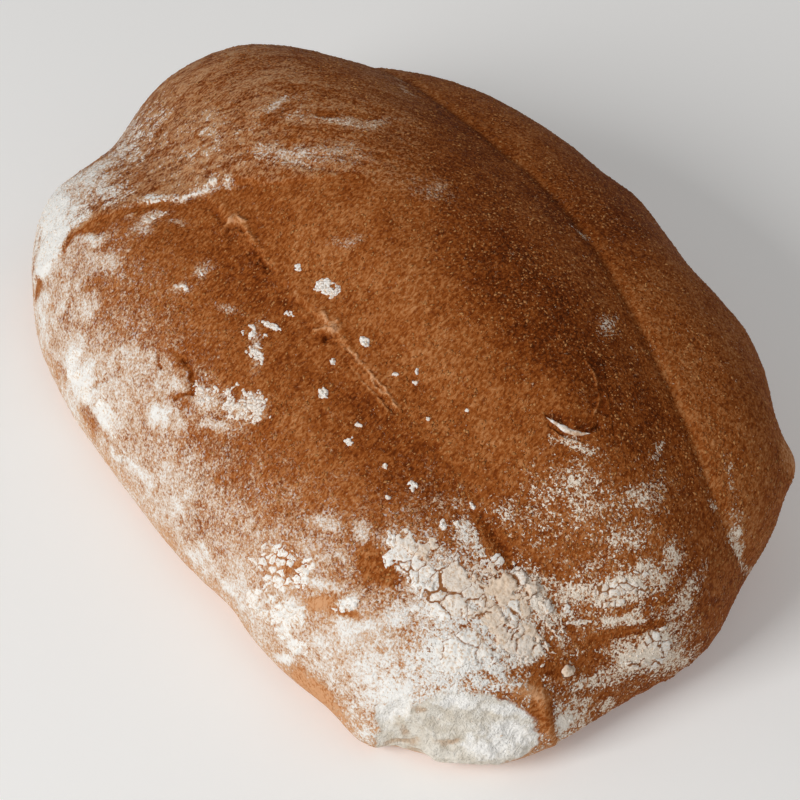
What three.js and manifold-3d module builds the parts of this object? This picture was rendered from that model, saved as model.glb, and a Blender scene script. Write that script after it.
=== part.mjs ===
// A telera roll: three soft lobes baked side by side, with a torn end, caked flour and flour lumps.
// Millimetres. X runs along the lobes, Y across them, Z up. The flat base lies on z = 0.
import * as THREE from 'three';
import Module from 'manifold-3d';

const vector = (x, y, z) => new THREE.Vector3(x, y, z);

// Each lobe is a rounded body, given by the middle of its length, its half sizes,
// its rise above its widest level and how far its ends bend sideways.
const leftLobe = {
  x: 3.2, y: -14.15, halfLength: 70.6, halfWidth: 32.25, rise: 34.75, widestAt: 3.15, bend: -5,
};
const middleLobe = {
  x: -0.3, y: 3.95, halfLength: 73.5, halfWidth: 32.7, rise: 37.85, widestAt: 9.95, bend: -1.6,
};
const rightLobe = {
  x: 6.15, y: 23.65, halfLength: 59.8, halfWidth: 22.65, rise: 22.1, widestAt: 19.2, bend: -3.4,
};
const undersideDepth = 27.3;
const endSquareness = 2.34;
const lobeScale = 28;
const leftCreaseSoftness = 1.3;
const rightCreaseSoftness = 1.2;
const lowerEdgeRounding = 6;

// A point inside all three lobes, from which the whole surface can be seen
const heart = vector(4, 9.75, 13);
const farthest = 110;
const halvings = 40;
const normalStep = 0.2;

// Facets: columns around the roll, rows from the flat base to the crown, wider apart near the crown
const columns = 112;
const rows = 38;
const rowSpread = 1.2;
const baseRings = 3;

// The seam pressed between the left and middle lobes
const seam = { depth: 1.1, width: 2.6, farEnd: -28, nearEnd: 64, fade: 9 };

// The far end's skin, folded over along a slanting line across the crown
const fold = { slope: 0.79, crossesAt: 3.75, step: 0.8, edge: 1.6, reach: 20, lastY: 7.75 };

// A burst blister on the middle lobe: a low dome with a groove round it
const blister = { at: vector(45.8, 2.75, 41.7), radius: 5.4, dome: 0.6, groove: 0.7, grooveWidth: 1.2 };

// The torn end where a neighbouring roll was pulled away: hollow above, with a ragged lip below
const tornEnd = {
  at: vector(68.6, -29.75, 9.5),
  along: vector(0.58, 0.81, 0),
  halfLength: 10.5,
  halfHeight: 7.5,
  innerEdge: 0.7,
  outerEdge: 1.15,
  hollow: 1.2,
  lip: 2,
  lipLevel: 3.5,
  lipHeight: 3,
  crags: 0.4,
  cragLength: 4.2,
};

// Round swellings and, where the height is negative, dents
const swellings = [
  { at: vector(58.5, 34.75, 21), radius: 4.5, height: 1.3 },
  { at: vector(50.5, 37.25, 23.5), radius: 5, height: -0.8 },
  { at: vector(38.5, 41.25, 28), radius: 6, height: 0.6 },
  { at: vector(21, 42, 30), radius: 7, height: -0.8 },
  { at: vector(5, 42.35, 32), radius: 5, height: 0.7 },
  { at: vector(57.5, -40.75, 2.4), radius: 5, height: 1.4 },
  { at: vector(24.5, -44.25, 4), radius: 7, height: -1.3 },
  { at: vector(-52, -38.25, 6), radius: 9, height: -0.9 },
  { at: vector(-62, -28.25, 17), radius: 7, height: 0.9 },
];

// The caked flour on the near end: dried plates with cracks between them
const cake = {
  at: vector(60, -23.75, 25.5),
  halfLength: 14.5,
  halfHeight: 10.5,
  spacing: 5.4,
  rowRatio: Math.sqrt(3) / 2,
  jitter: 0.3,
  halfCrack: 0.35,
  thickness: 0.7,
  sunk: 1.3,
};

// The largest flour lumps, each a squashed grain half sunk in the crust
const lumpSides = { around: 6, down: 4 };
const lumps = [
  { near: vector(5.5, -15.25, 41), long: 5.6, wide: 3, high: 1.5 },
  { near: vector(-1.2, -16.25, 40), long: 2, wide: 1.6, high: 1 },
  { near: vector(4, -24.25, 36), long: 4.6, wide: 1.8, high: 1.2 },
  { near: vector(4, -35.75, 28), long: 4.2, wide: 2.4, high: 1.2 },
  { near: vector(12, -32.75, 31), long: 4.4, wide: 2.6, high: 1 },
  { near: vector(20.5, -24.85, 35.5), long: 2.3, wide: 1.8, high: 1.5 },
  { near: vector(18, -16.15, 40), long: 2.1, wide: 1.3, high: 1 },
  { near: vector(30.5, -26.25, 34), long: 2.4, wide: 1.6, high: 1 },
  { near: vector(71.5, -14.25, 15.3), long: 3.6, wide: 3, high: 2 },
  { near: vector(43.5, -43, 11), long: 3.6, wide: 2.6, high: 1.6 },
];

// How far a point lies outside one lobe, negative inside
function lobeDistance(lobe, p) {
  const along = Math.abs(p.x - lobe.x) / lobe.halfLength;
  const across = (p.y - lobe.y - lobe.bend * along * along) / lobe.halfWidth;
  const height = p.z - lobe.widestAt;
  const up = height / (height > 0 ? lobe.rise : undersideDepth);
  const section = Math.hypot(across, up);
  const powers = Math.pow(along, endSquareness) + Math.pow(section, endSquareness);
  return (Math.pow(powers, 1 / endSquareness) - 1) * lobeScale;
}

// The lower of two distances, with their crease filled softly
function softMin(a, b, softness) {
  const least = Math.min(a, b);
  return least - softness * Math.log(Math.exp((least - a) / softness) + Math.exp((least - b) / softness));
}

// The higher of two distances, with their edge rounded off
function roundMax(a, b, rounding) {
  const share = Math.max(rounding - Math.abs(a - b), 0) / rounding;
  return Math.max(a, b) + (share * share * rounding) / 4;
}

function lobesDistance(p) {
  const left = lobeDistance(leftLobe, p);
  const middle = lobeDistance(middleLobe, p);
  const right = lobeDistance(rightLobe, p);
  return softMin(softMin(left, middle, leftCreaseSoftness), right, rightCreaseSoftness);
}

function doughDistance(p) {
  return roundMax(lobesDistance(p), -p.z, lowerEdgeRounding);
}

function doughNormal(p) {
  const normal = vector(0, 0, 0);
  for (const axis of ['x', 'y', 'z']) {
    const ahead = p.clone();
    const behind = p.clone();
    ahead[axis] += normalStep;
    behind[axis] -= normalStep;
    normal[axis] = doughDistance(ahead) - doughDistance(behind);
  }
  return normal.normalize();
}

// Where a ray from a point inside reaches a distance of zero
function reachSurface(start, direction, distance) {
  let inside = 0;
  let outside = farthest;
  for (let halving = 0; halving < halvings; halving += 1) {
    const between = (inside + outside) / 2;
    if (distance(start.clone().addScaledVector(direction, between)) < 0) inside = between;
    else outside = between;
  }
  return start.clone().addScaledVector(direction, inside);
}

function bell(distance, width) {
  return Math.exp(-(distance * distance) / (width * width));
}

const smooth = THREE.MathUtils.smoothstep;

function seamRelief(p) {
  const offCrease = lobeDistance(leftLobe, p) - lobeDistance(middleLobe, p);
  const farFade = smooth(p.x, seam.farEnd - seam.fade, seam.farEnd + seam.fade);
  const nearFade = 1 - smooth(p.x, seam.nearEnd - seam.fade, seam.nearEnd + seam.fade);
  return -seam.depth * bell(offCrease, seam.width) * farFade * nearFade;
}

function foldRelief(p) {
  const beyond = (p.y - fold.slope * p.x - fold.crossesAt) / Math.hypot(1, fold.slope);
  const rise = smooth(beyond, 0, fold.edge) * Math.exp(-Math.max(beyond, 0) / fold.reach);
  return fold.step * rise * (1 - smooth(p.y, fold.lastY - fold.reach / 2, fold.lastY));
}

function blisterRelief(p) {
  const distance = p.distanceTo(blister.at);
  const groove = blister.groove * bell(distance - blister.radius, blister.grooveWidth);
  return blister.dome * bell(distance, blister.radius) - groove;
}

function tornRelief(p) {
  const offset = p.clone().sub(tornEnd.at);
  const along = offset.dot(tornEnd.along);
  const radius = Math.hypot(along / tornEnd.halfLength, offset.z / tornEnd.halfHeight);
  const inside = p.x > 0 ? 1 - smooth(radius, tornEnd.innerEdge, tornEnd.outerEdge) : 0;
  const turn = (2 * Math.PI) / tornEnd.cragLength;
  const crags = tornEnd.crags * Math.sin(along * turn) * Math.cos(offset.z * turn);
  const lip = tornEnd.lip * bell(p.z - tornEnd.lipLevel, tornEnd.lipHeight);
  return inside * (lip - tornEnd.hollow + crags);
}

function swellingRelief(p) {
  let height = 0;
  for (const swelling of swellings) {
    height += swelling.height * bell(p.distanceTo(swelling.at), swelling.radius);
  }
  return height;
}

function relief(p) {
  return seamRelief(p) + foldRelief(p) + blisterRelief(p) + tornRelief(p) + swellingRelief(p);
}

// A point of the finished crust, or of something standing above or below it by a height,
// never lower than the base
function crustPoint(direction, height) {
  const p = reachSurface(heart, direction, doughDistance);
  const crustHeight = relief(p) + height;
  p.addScaledVector(doughNormal(p), crustHeight);
  return p.setZ(Math.max(p.z, 0));
}

// The edge of the flat base in one direction from its middle
function baseEdge(angle) {
  const direction = vector(Math.cos(angle), Math.sin(angle), 0);
  return reachSurface(baseMiddle(), direction, (p) => lobesDistance(p) + lowerEdgeRounding);
}

function baseMiddle() {
  return vector(heart.x, heart.y, 0);
}

function asGeometry(points, triangles) {
  const geometry = new THREE.BufferGeometry().setFromPoints(points);
  geometry.setIndex(triangles);
  return geometry;
}

// The crust from the flat base to the crown, in rings of equal columns
function doughGeometry() {
  const points = [];
  const triangles = [];
  const corner = (ring, turn) => ring * columns + (turn % columns);
  const edges = Array.from({ length: columns }, (_, turn) => baseEdge((turn / columns) * 2 * Math.PI));
  for (let ring = 1; ring <= baseRings; ring += 1) {
    for (const edge of edges) points.push(baseMiddle().lerp(edge, ring / baseRings));
  }
  for (let row = 1; row < rows; row += 1) {
    for (const edge of edges) {
      const outward = edge.clone().sub(baseMiddle());
      const lowest = Math.atan2(-heart.z, outward.length());
      const lift = THREE.MathUtils.lerp(lowest, Math.PI / 2, Math.pow(row / rows, rowSpread));
      const direction = outward.setLength(Math.cos(lift)).setZ(Math.sin(lift));
      points.push(crustPoint(direction, 0));
    }
  }
  const rings = baseRings + rows - 1;
  const middle = points.push(baseMiddle()) - 1;
  const crown = points.push(crustPoint(vector(0, 0, 1), 0)) - 1;
  for (let turn = 0; turn < columns; turn += 1) {
    triangles.push(middle, corner(0, turn + 1), corner(0, turn));
    triangles.push(crown, corner(rings - 1, turn), corner(rings - 1, turn + 1));
    for (let ring = 1; ring < rings; ring += 1) {
      triangles.push(corner(ring - 1, turn), corner(ring - 1, turn + 1), corner(ring, turn + 1));
      triangles.push(corner(ring - 1, turn), corner(ring, turn + 1), corner(ring, turn));
    }
  }
  return asGeometry(points, triangles);
}

// A repeatable draw between minus one and one for a place on a lattice
const drawWaves = { i: 127.1, j: 311.7, salt: 74.7, stretch: 43758.5453 };
function draw(i, j, salt) {
  const wave = Math.sin(i * drawWaves.i + j * drawWaves.j + salt * drawWaves.salt) * drawWaves.stretch;
  return 2 * (wave - Math.floor(wave)) - 1;
}

// The middle of one dried plate, on a jittered lattice of staggered rows
function plateMiddle(i, j) {
  const stagger = j % 2 === 0 ? 0 : 0.5;
  const x = i + stagger + cake.jitter * draw(i, j, 1);
  const y = j * cake.rowRatio + cake.jitter * draw(i, j, 2);
  return new THREE.Vector2(x, y).multiplyScalar(cake.spacing);
}

// Cuts an outline by the line halfway to a neighbouring plate, drawn back by half a crack
function cutOutline(outline, middle, neighbour) {
  const way = neighbour.clone().sub(middle);
  const limit = way.length() / 2 - cake.halfCrack;
  way.normalize();
  const past = (p) => p.clone().sub(middle).dot(way) - limit;
  const kept = [];
  outline.forEach((p, index) => {
    const next = outline[(index + 1) % outline.length];
    const here = past(p);
    const there = past(next);
    if (here <= 0) kept.push(p);
    if (here * there < 0) kept.push(p.clone().lerp(next, here / (here - there)));
  });
  return kept;
}

function plateOutline(i, j) {
  const middle = plateMiddle(i, j);
  const corners = [[-1, -1], [1, -1], [1, 1], [-1, 1]];
  let outline = corners.map(([x, y]) => new THREE.Vector2(x, y).multiplyScalar(cake.spacing).add(middle));
  for (let stepI = -2; stepI <= 2; stepI += 1) {
    for (let stepJ = -2; stepJ <= 2; stepJ += 1) {
      const neighbour = plateMiddle(i + stepI, j + stepJ);
      if (stepI !== 0 || stepJ !== 0) outline = cutOutline(outline, middle, neighbour);
    }
  }
  return outline;
}

// One dried plate: its outline laid on the crust and closed into a thin slab
function plateGeometry(i, j) {
  const normal = doughNormal(cake.at);
  const level = vector(0, 0, 1).cross(normal).normalize();
  const rising = normal.clone().cross(level);
  const onCrust = (place, height) => {
    const p = cake.at.clone().addScaledVector(level, place.x).addScaledVector(rising, place.y);
    return crustPoint(p.sub(heart).normalize(), height);
  };
  const outline = plateOutline(i, j);
  const middle = plateMiddle(i, j);
  const count = outline.length;
  const points = [
    ...outline.map((p) => onCrust(p, -cake.sunk)),
    ...outline.map((p) => onCrust(p, cake.thickness)),
    onCrust(middle, -cake.sunk),
    onCrust(middle, cake.thickness),
  ];
  const triangles = [];
  for (let corner = 0; corner < count; corner += 1) {
    const next = (corner + 1) % count;
    triangles.push(corner, next, count + next);
    triangles.push(corner, count + next, count + corner);
    triangles.push(next, corner, 2 * count);
    triangles.push(count + corner, count + next, 2 * count + 1);
  }
  return asGeometry(points, triangles);
}

function plateGeometries() {
  const plates = [];
  const last = Math.ceil(cake.halfLength / cake.spacing) + 1;
  for (let i = -last; i <= last; i += 1) {
    for (let j = -last; j <= last; j += 1) {
      const middle = plateMiddle(i, j);
      const radius = Math.hypot(middle.x / cake.halfLength, middle.y / cake.halfHeight);
      if (radius < 1) plates.push(plateGeometry(i, j));
    }
  }
  return plates;
}

// One flour lump: a squashed ball with closed poles, lying along the crust
function lumpGeometry(lump) {
  const at = crustPoint(lump.near.clone().sub(heart).normalize(), 0);
  const normal = doughNormal(at);
  const across = normal.clone().cross(vector(1, 0, 0)).normalize();
  const along = across.clone().cross(normal);
  const place = (x, y, z) => at.clone()
    .addScaledVector(along, (x * lump.long) / 2)
    .addScaledVector(across, (y * lump.wide) / 2)
    .addScaledVector(normal, z * lump.high);
  const points = [];
  const triangles = [];
  const { around, down } = lumpSides;
  for (let ring = 1; ring < down; ring += 1) {
    const tilt = (ring / down) * Math.PI;
    for (let turn = 0; turn < around; turn += 1) {
      const angle = (turn / around) * 2 * Math.PI;
      const flat = Math.sin(tilt);
      points.push(place(flat * Math.cos(angle), flat * Math.sin(angle), Math.cos(tilt)));
    }
  }
  const top = points.push(place(0, 0, 1)) - 1;
  const bottom = points.push(place(0, 0, -1)) - 1;
  const lastRing = (down - 2) * around;
  for (let turn = 0; turn < around; turn += 1) {
    const next = (turn + 1) % around;
    triangles.push(top, turn, next);
    triangles.push(bottom, lastRing + next, lastRing + turn);
    for (let upper = 0; upper < lastRing; upper += around) {
      const lower = upper + around;
      triangles.push(upper + turn, lower + turn, lower + next);
      triangles.push(upper + turn, lower + next, upper + next);
    }
  }
  return asGeometry(points, triangles);
}

const wasm = await Module();
wasm.setup();

function asSolid(geometry) {
  return new wasm.Manifold(new wasm.Mesh({
    numProp: 3,
    vertProperties: new Float32Array(geometry.attributes.position.array),
    triVerts: new Uint32Array(geometry.index.array),
  }));
}

// Dough, plates and lumps fused into one body, centred over its base
function rollGeometry() {
  let solid = asSolid(doughGeometry());
  for (const plate of plateGeometries()) solid = solid.add(asSolid(plate));
  for (const lump of lumps) solid = solid.add(asSolid(lumpGeometry(lump)));
  const mesh = solid.getMesh();
  const geometry = new THREE.BufferGeometry();
  geometry.setAttribute('position', new THREE.BufferAttribute(new Float32Array(mesh.vertProperties), 3));
  geometry.setIndex(new THREE.BufferAttribute(new Uint32Array(mesh.triVerts), 1));
  geometry.computeBoundingBox();
  const middle = geometry.boundingBox.getCenter(vector(0, 0, 0));
  geometry.translate(-middle.x, -middle.y, -geometry.boundingBox.min.z);
  return geometry;
}

const crust = new THREE.MeshStandardMaterial({ color: '#8f5a33', roughness: 0.85, metalness: 0 });
const roll = new THREE.Mesh(rollGeometry(), crust);
roll.name = 'roll';

const telera = new THREE.Group();
telera.add(roll);

export default telera;
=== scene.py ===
# A telera roll: browned three-lobed crust, caked and dusted flour, flour heaps and a torn end
import bpy
import numpy as np
from mathutils import Matrix


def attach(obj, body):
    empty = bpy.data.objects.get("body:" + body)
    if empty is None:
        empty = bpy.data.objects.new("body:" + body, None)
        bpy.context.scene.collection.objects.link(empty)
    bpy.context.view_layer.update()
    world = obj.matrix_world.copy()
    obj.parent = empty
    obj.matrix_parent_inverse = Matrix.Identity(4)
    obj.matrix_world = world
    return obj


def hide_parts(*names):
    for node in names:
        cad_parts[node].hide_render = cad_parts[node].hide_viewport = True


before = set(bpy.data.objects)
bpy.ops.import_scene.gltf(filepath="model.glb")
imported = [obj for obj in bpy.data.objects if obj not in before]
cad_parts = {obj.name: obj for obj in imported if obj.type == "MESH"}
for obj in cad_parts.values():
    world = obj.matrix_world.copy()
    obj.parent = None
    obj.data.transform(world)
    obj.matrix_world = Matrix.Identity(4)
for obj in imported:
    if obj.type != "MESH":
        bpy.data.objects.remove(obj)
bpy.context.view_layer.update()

mm = 0.001  # sizes are in millimetres until a mesh is made, the scene is in metres

# The dough: three rounded lobes side by side on a flat base
dough = dict(
    heart=np.array([4.0, 9.75, 13.0]),  # inside all three lobes, sees the whole surface
    left=dict(x=3.2, y=-14.15, halfLength=70.6, halfWidth=32.25, rise=34.75, widestAt=3.15, bend=-5.0),
    middle=dict(x=-0.3, y=3.95, halfLength=73.5, halfWidth=32.7, rise=37.85, widestAt=9.95, bend=-1.6),
    right=dict(x=6.15, y=23.65, halfLength=59.8, halfWidth=22.65, rise=22.1, widestAt=19.2, bend=-3.4),
    flank=dict(x=8.0, reach=22.0, out=1.1, across=(0.15, 0.7)),  # the middle lobe is fuller on its right
    undersideDepth=27.3, endSquareness=2.34, distanceScale=28.0, leftCreaseSoftness=1.3,
    rightCreaseSoftness=1.2, lowerEdgeRounding=6.0, farthest=110.0, halvings=34, normalStep=0.2,
)


def smooth(value, low, high):
    # 0 below low, 1 above high, and three t squared less two t cubed between them
    t = np.clip((value - low) / (high - low), 0, 1)
    return t * t * (3 - 2 * t)


def bell(distance, width):
    # e to the minus square of distance over width
    return np.exp(-((distance / width) ** 2))


def unit(vectors):
    # made one long
    return vectors / np.linalg.norm(vectors, axis=-1, keepdims=True)


def lobeDistance(p, lobe):
    # the length share and the section's radius, raised to the end squareness, summed, rooted, less one;
    # the middle lobe's right flank moves out by a bell along the length
    along = np.abs(p[..., 0] - lobe["x"]) / lobe["halfLength"]
    across = (p[..., 1] - lobe["y"] - lobe["bend"] * along**2) / lobe["halfWidth"]
    above = p[..., 2] - lobe["widestAt"]
    upward = above / np.where(above > 0, lobe["rise"], dough["undersideDepth"])
    power = dough["endSquareness"]
    radius = (along**power + np.hypot(across, upward) ** power) ** (1 / power)
    distance = (radius - 1) * dough["distanceScale"]
    if lobe is dough["middle"]:
        flank = dough["flank"]
        fuller = flank["out"] * bell(p[..., 0] - flank["x"], flank["reach"])
        distance = distance - fuller * smooth(across, *flank["across"])
    return distance


def lobeDistances(p):
    return [lobeDistance(p, dough[key]) for key in ("left", "middle", "right")]


def softMin(a, b, softness):
    # the lower value, less softness times the log of both exponentials, which fills the crease
    return -softness * np.logaddexp(-a / softness, -b / softness)


def roundMax(a, b, rounding):
    # the higher value, plus a quarter of the rounding times the square of how nearly they meet
    share = np.maximum(rounding - np.abs(a - b), 0) / rounding
    return np.maximum(a, b) + share**2 * rounding / 4


def doughDistance(p):
    # lobes joined by soft creases, then cut by the base with a rounded lower edge
    left, middle, right = lobeDistances(p)
    upper = softMin(softMin(left, middle, dough["leftCreaseSoftness"]), right, dough["rightCreaseSoftness"])
    return roundMax(upper, -p[..., 2], dough["lowerEdgeRounding"])


def doughNormal(p):
    # the distance's slope along each axis, made one long
    steps = dough["normalStep"] * np.eye(3)
    slope = np.stack([doughDistance(p + step) - doughDistance(p - step) for step in steps], axis=-1)
    return unit(slope)


def halveWay(start, ray, inside, outside):
    # halves the way between a place inside and one outside on each ray until the distance is nothing
    for _ in range(dough["halvings"]):
        between = (inside + outside) / 2
        within = doughDistance(start + between[..., None] * ray) < 0
        inside = np.where(within, between, inside)
        outside = np.where(within, outside, between)
    return inside, outside


def reachSurface(start, direction):
    # where rays from inside the dough come out of it
    shape = direction.shape[:-1]
    inside, _ = halveWay(start, direction, np.zeros(shape), np.full(shape, dough["farthest"]))
    return start + inside[..., None] * direction


def fromHeart(target):
    # the crust point on the ray from the heart through a target
    return reachSurface(dough["heart"], unit(target - dough["heart"]))


def latticeDraw(corner, seed):
    # stirs a lattice corner's bits by large odd numbers into a number from 0 to 1, the same on every run
    i, j, k = (corner[..., axis].astype(np.uint32) for axis in range(3))
    bits = i * np.uint32(374761393) + j * np.uint32(668265263) + k * np.uint32(2246822519)
    bits = bits + np.uint32(seed * 40503 + 977)
    bits = (bits ^ (bits >> np.uint32(13))) * np.uint32(1274126177)
    bits = (bits ^ (bits >> np.uint32(15))) * np.uint32(2654435761)
    return (bits ^ (bits >> np.uint32(16))) / 2.0**32


def softNoise(p, size, seed):
    # numbers drawn at the corners of boxes of this size, blended smoothly between them, -1 to 1
    place = p / size
    corner = np.floor(place)
    part = place - corner
    part = part**3 * (part * (part * 6 - 15) + 10)
    corner = corner.astype(np.int64)
    total = 0
    for step in np.ndindex(2, 2, 2):
        weight = np.prod(np.where(np.array(step) == 1, part, 1 - part), axis=-1)
        total = total + weight * latticeDraw(corner + np.array(step), seed)
    return 2 * total - 1


def cloudNoise(p, size, seed, layers=3):
    # soft noise summed over layers, each half the size and half the strength of the one before
    shares = 0.5 ** np.arange(layers)
    total = sum(share * softNoise(p, size * share, seed + layer) for layer, share in enumerate(shares))
    return total / np.sqrt(np.sum(shares**2))


# The picture's view of the roll: the camera's directions and place, and a picture of 800 pixels
view = dict(
    right=np.array([0.5267, 0.8501, 0.0]), up=np.array([-0.5885, 0.3646, 0.7216]),
    back=np.array([0.6134, -0.3801, 0.6923]), at=np.array([312.95, -192.63, 357.27]), lens=141.39,
    sensor=36.0,
    farthest=20,  # metres
    pixels=800,
    depths=np.linspace(380, 620, 481),  # where a ray from the camera may meet the roll
)
pixel = 0.159  # millimetres to a pixel of the picture at the roll
focal = view["lens"] / view["sensor"] * view["pixels"]
slant = np.radians(55)  # by which the crust's grain and flecks rise to the right in the picture
slantLead = np.cos(slant) * view["right"] + np.sin(slant) * view["up"]


def seenAt(p, normal):
    # pixels across and down at which a point shows, and the cosine of its normal to the way to the camera
    way = p - view["at"]
    depth = -(way @ view["back"])
    px = view["pixels"] / 2 + focal * (way @ view["right"]) / depth
    py = view["pixels"] / 2 - focal * (way @ view["up"]) / depth
    facing = -np.sum(way * normal, axis=-1) / np.linalg.norm(way, axis=-1)
    return px, py, facing


def underPixel(px, py):
    # the first dough point on the camera's ray through a pixel: by steps along it, then by halving one step
    across, down = ((np.asarray(v, dtype=float) - view["pixels"] / 2) / focal for v in (px, py))
    ray = across[..., None] * view["right"] - down[..., None] * view["up"] - view["back"]
    ahead = view["at"] + view["depths"][:, None] * ray[..., None, :]
    first = np.argmax(doughDistance(ahead) < 0, axis=-1)
    _, outside = halveWay(view["at"], ray, view["depths"][first], view["depths"][first - 1])
    return view["at"] + outside[..., None] * ray


def ovalShare(dx, dy, oval):
    # distance from an oval's middle along its own turned and stretched axes, 1 on its edge
    turn = np.radians(oval.get("turn", 0))
    long = (dx * np.cos(turn) + dy * np.sin(turn)) / oval["long"]
    wide = (dy * np.cos(turn) - dx * np.sin(turn)) / oval["wide"]
    return np.hypot(long, wide)


def shownShares(px, py, ovals):
    # each oval's share at places in the picture
    return [ovalShare(px - oval["px"], py - oval["py"], oval) for oval in ovals]


def lineShare(px, py, line):
    # the least distance to the line's straight stretches, over its width
    knots = np.stack([line["across"], line["down"]], axis=-1).astype(float)
    nearest = np.full(np.shape(px), np.inf)
    for start, stretch in zip(knots[:-1], np.diff(knots, axis=0)):
        along = ((px - start[0]) * stretch[0] + (py - start[1]) * stretch[1]) / (stretch @ stretch)
        along = np.clip(along, 0, 1)
        away = np.hypot(px - start[0] - along * stretch[0], py - start[1] - along * stretch[1])
        nearest = np.minimum(nearest, away)
    return nearest / line["wide"]


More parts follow.
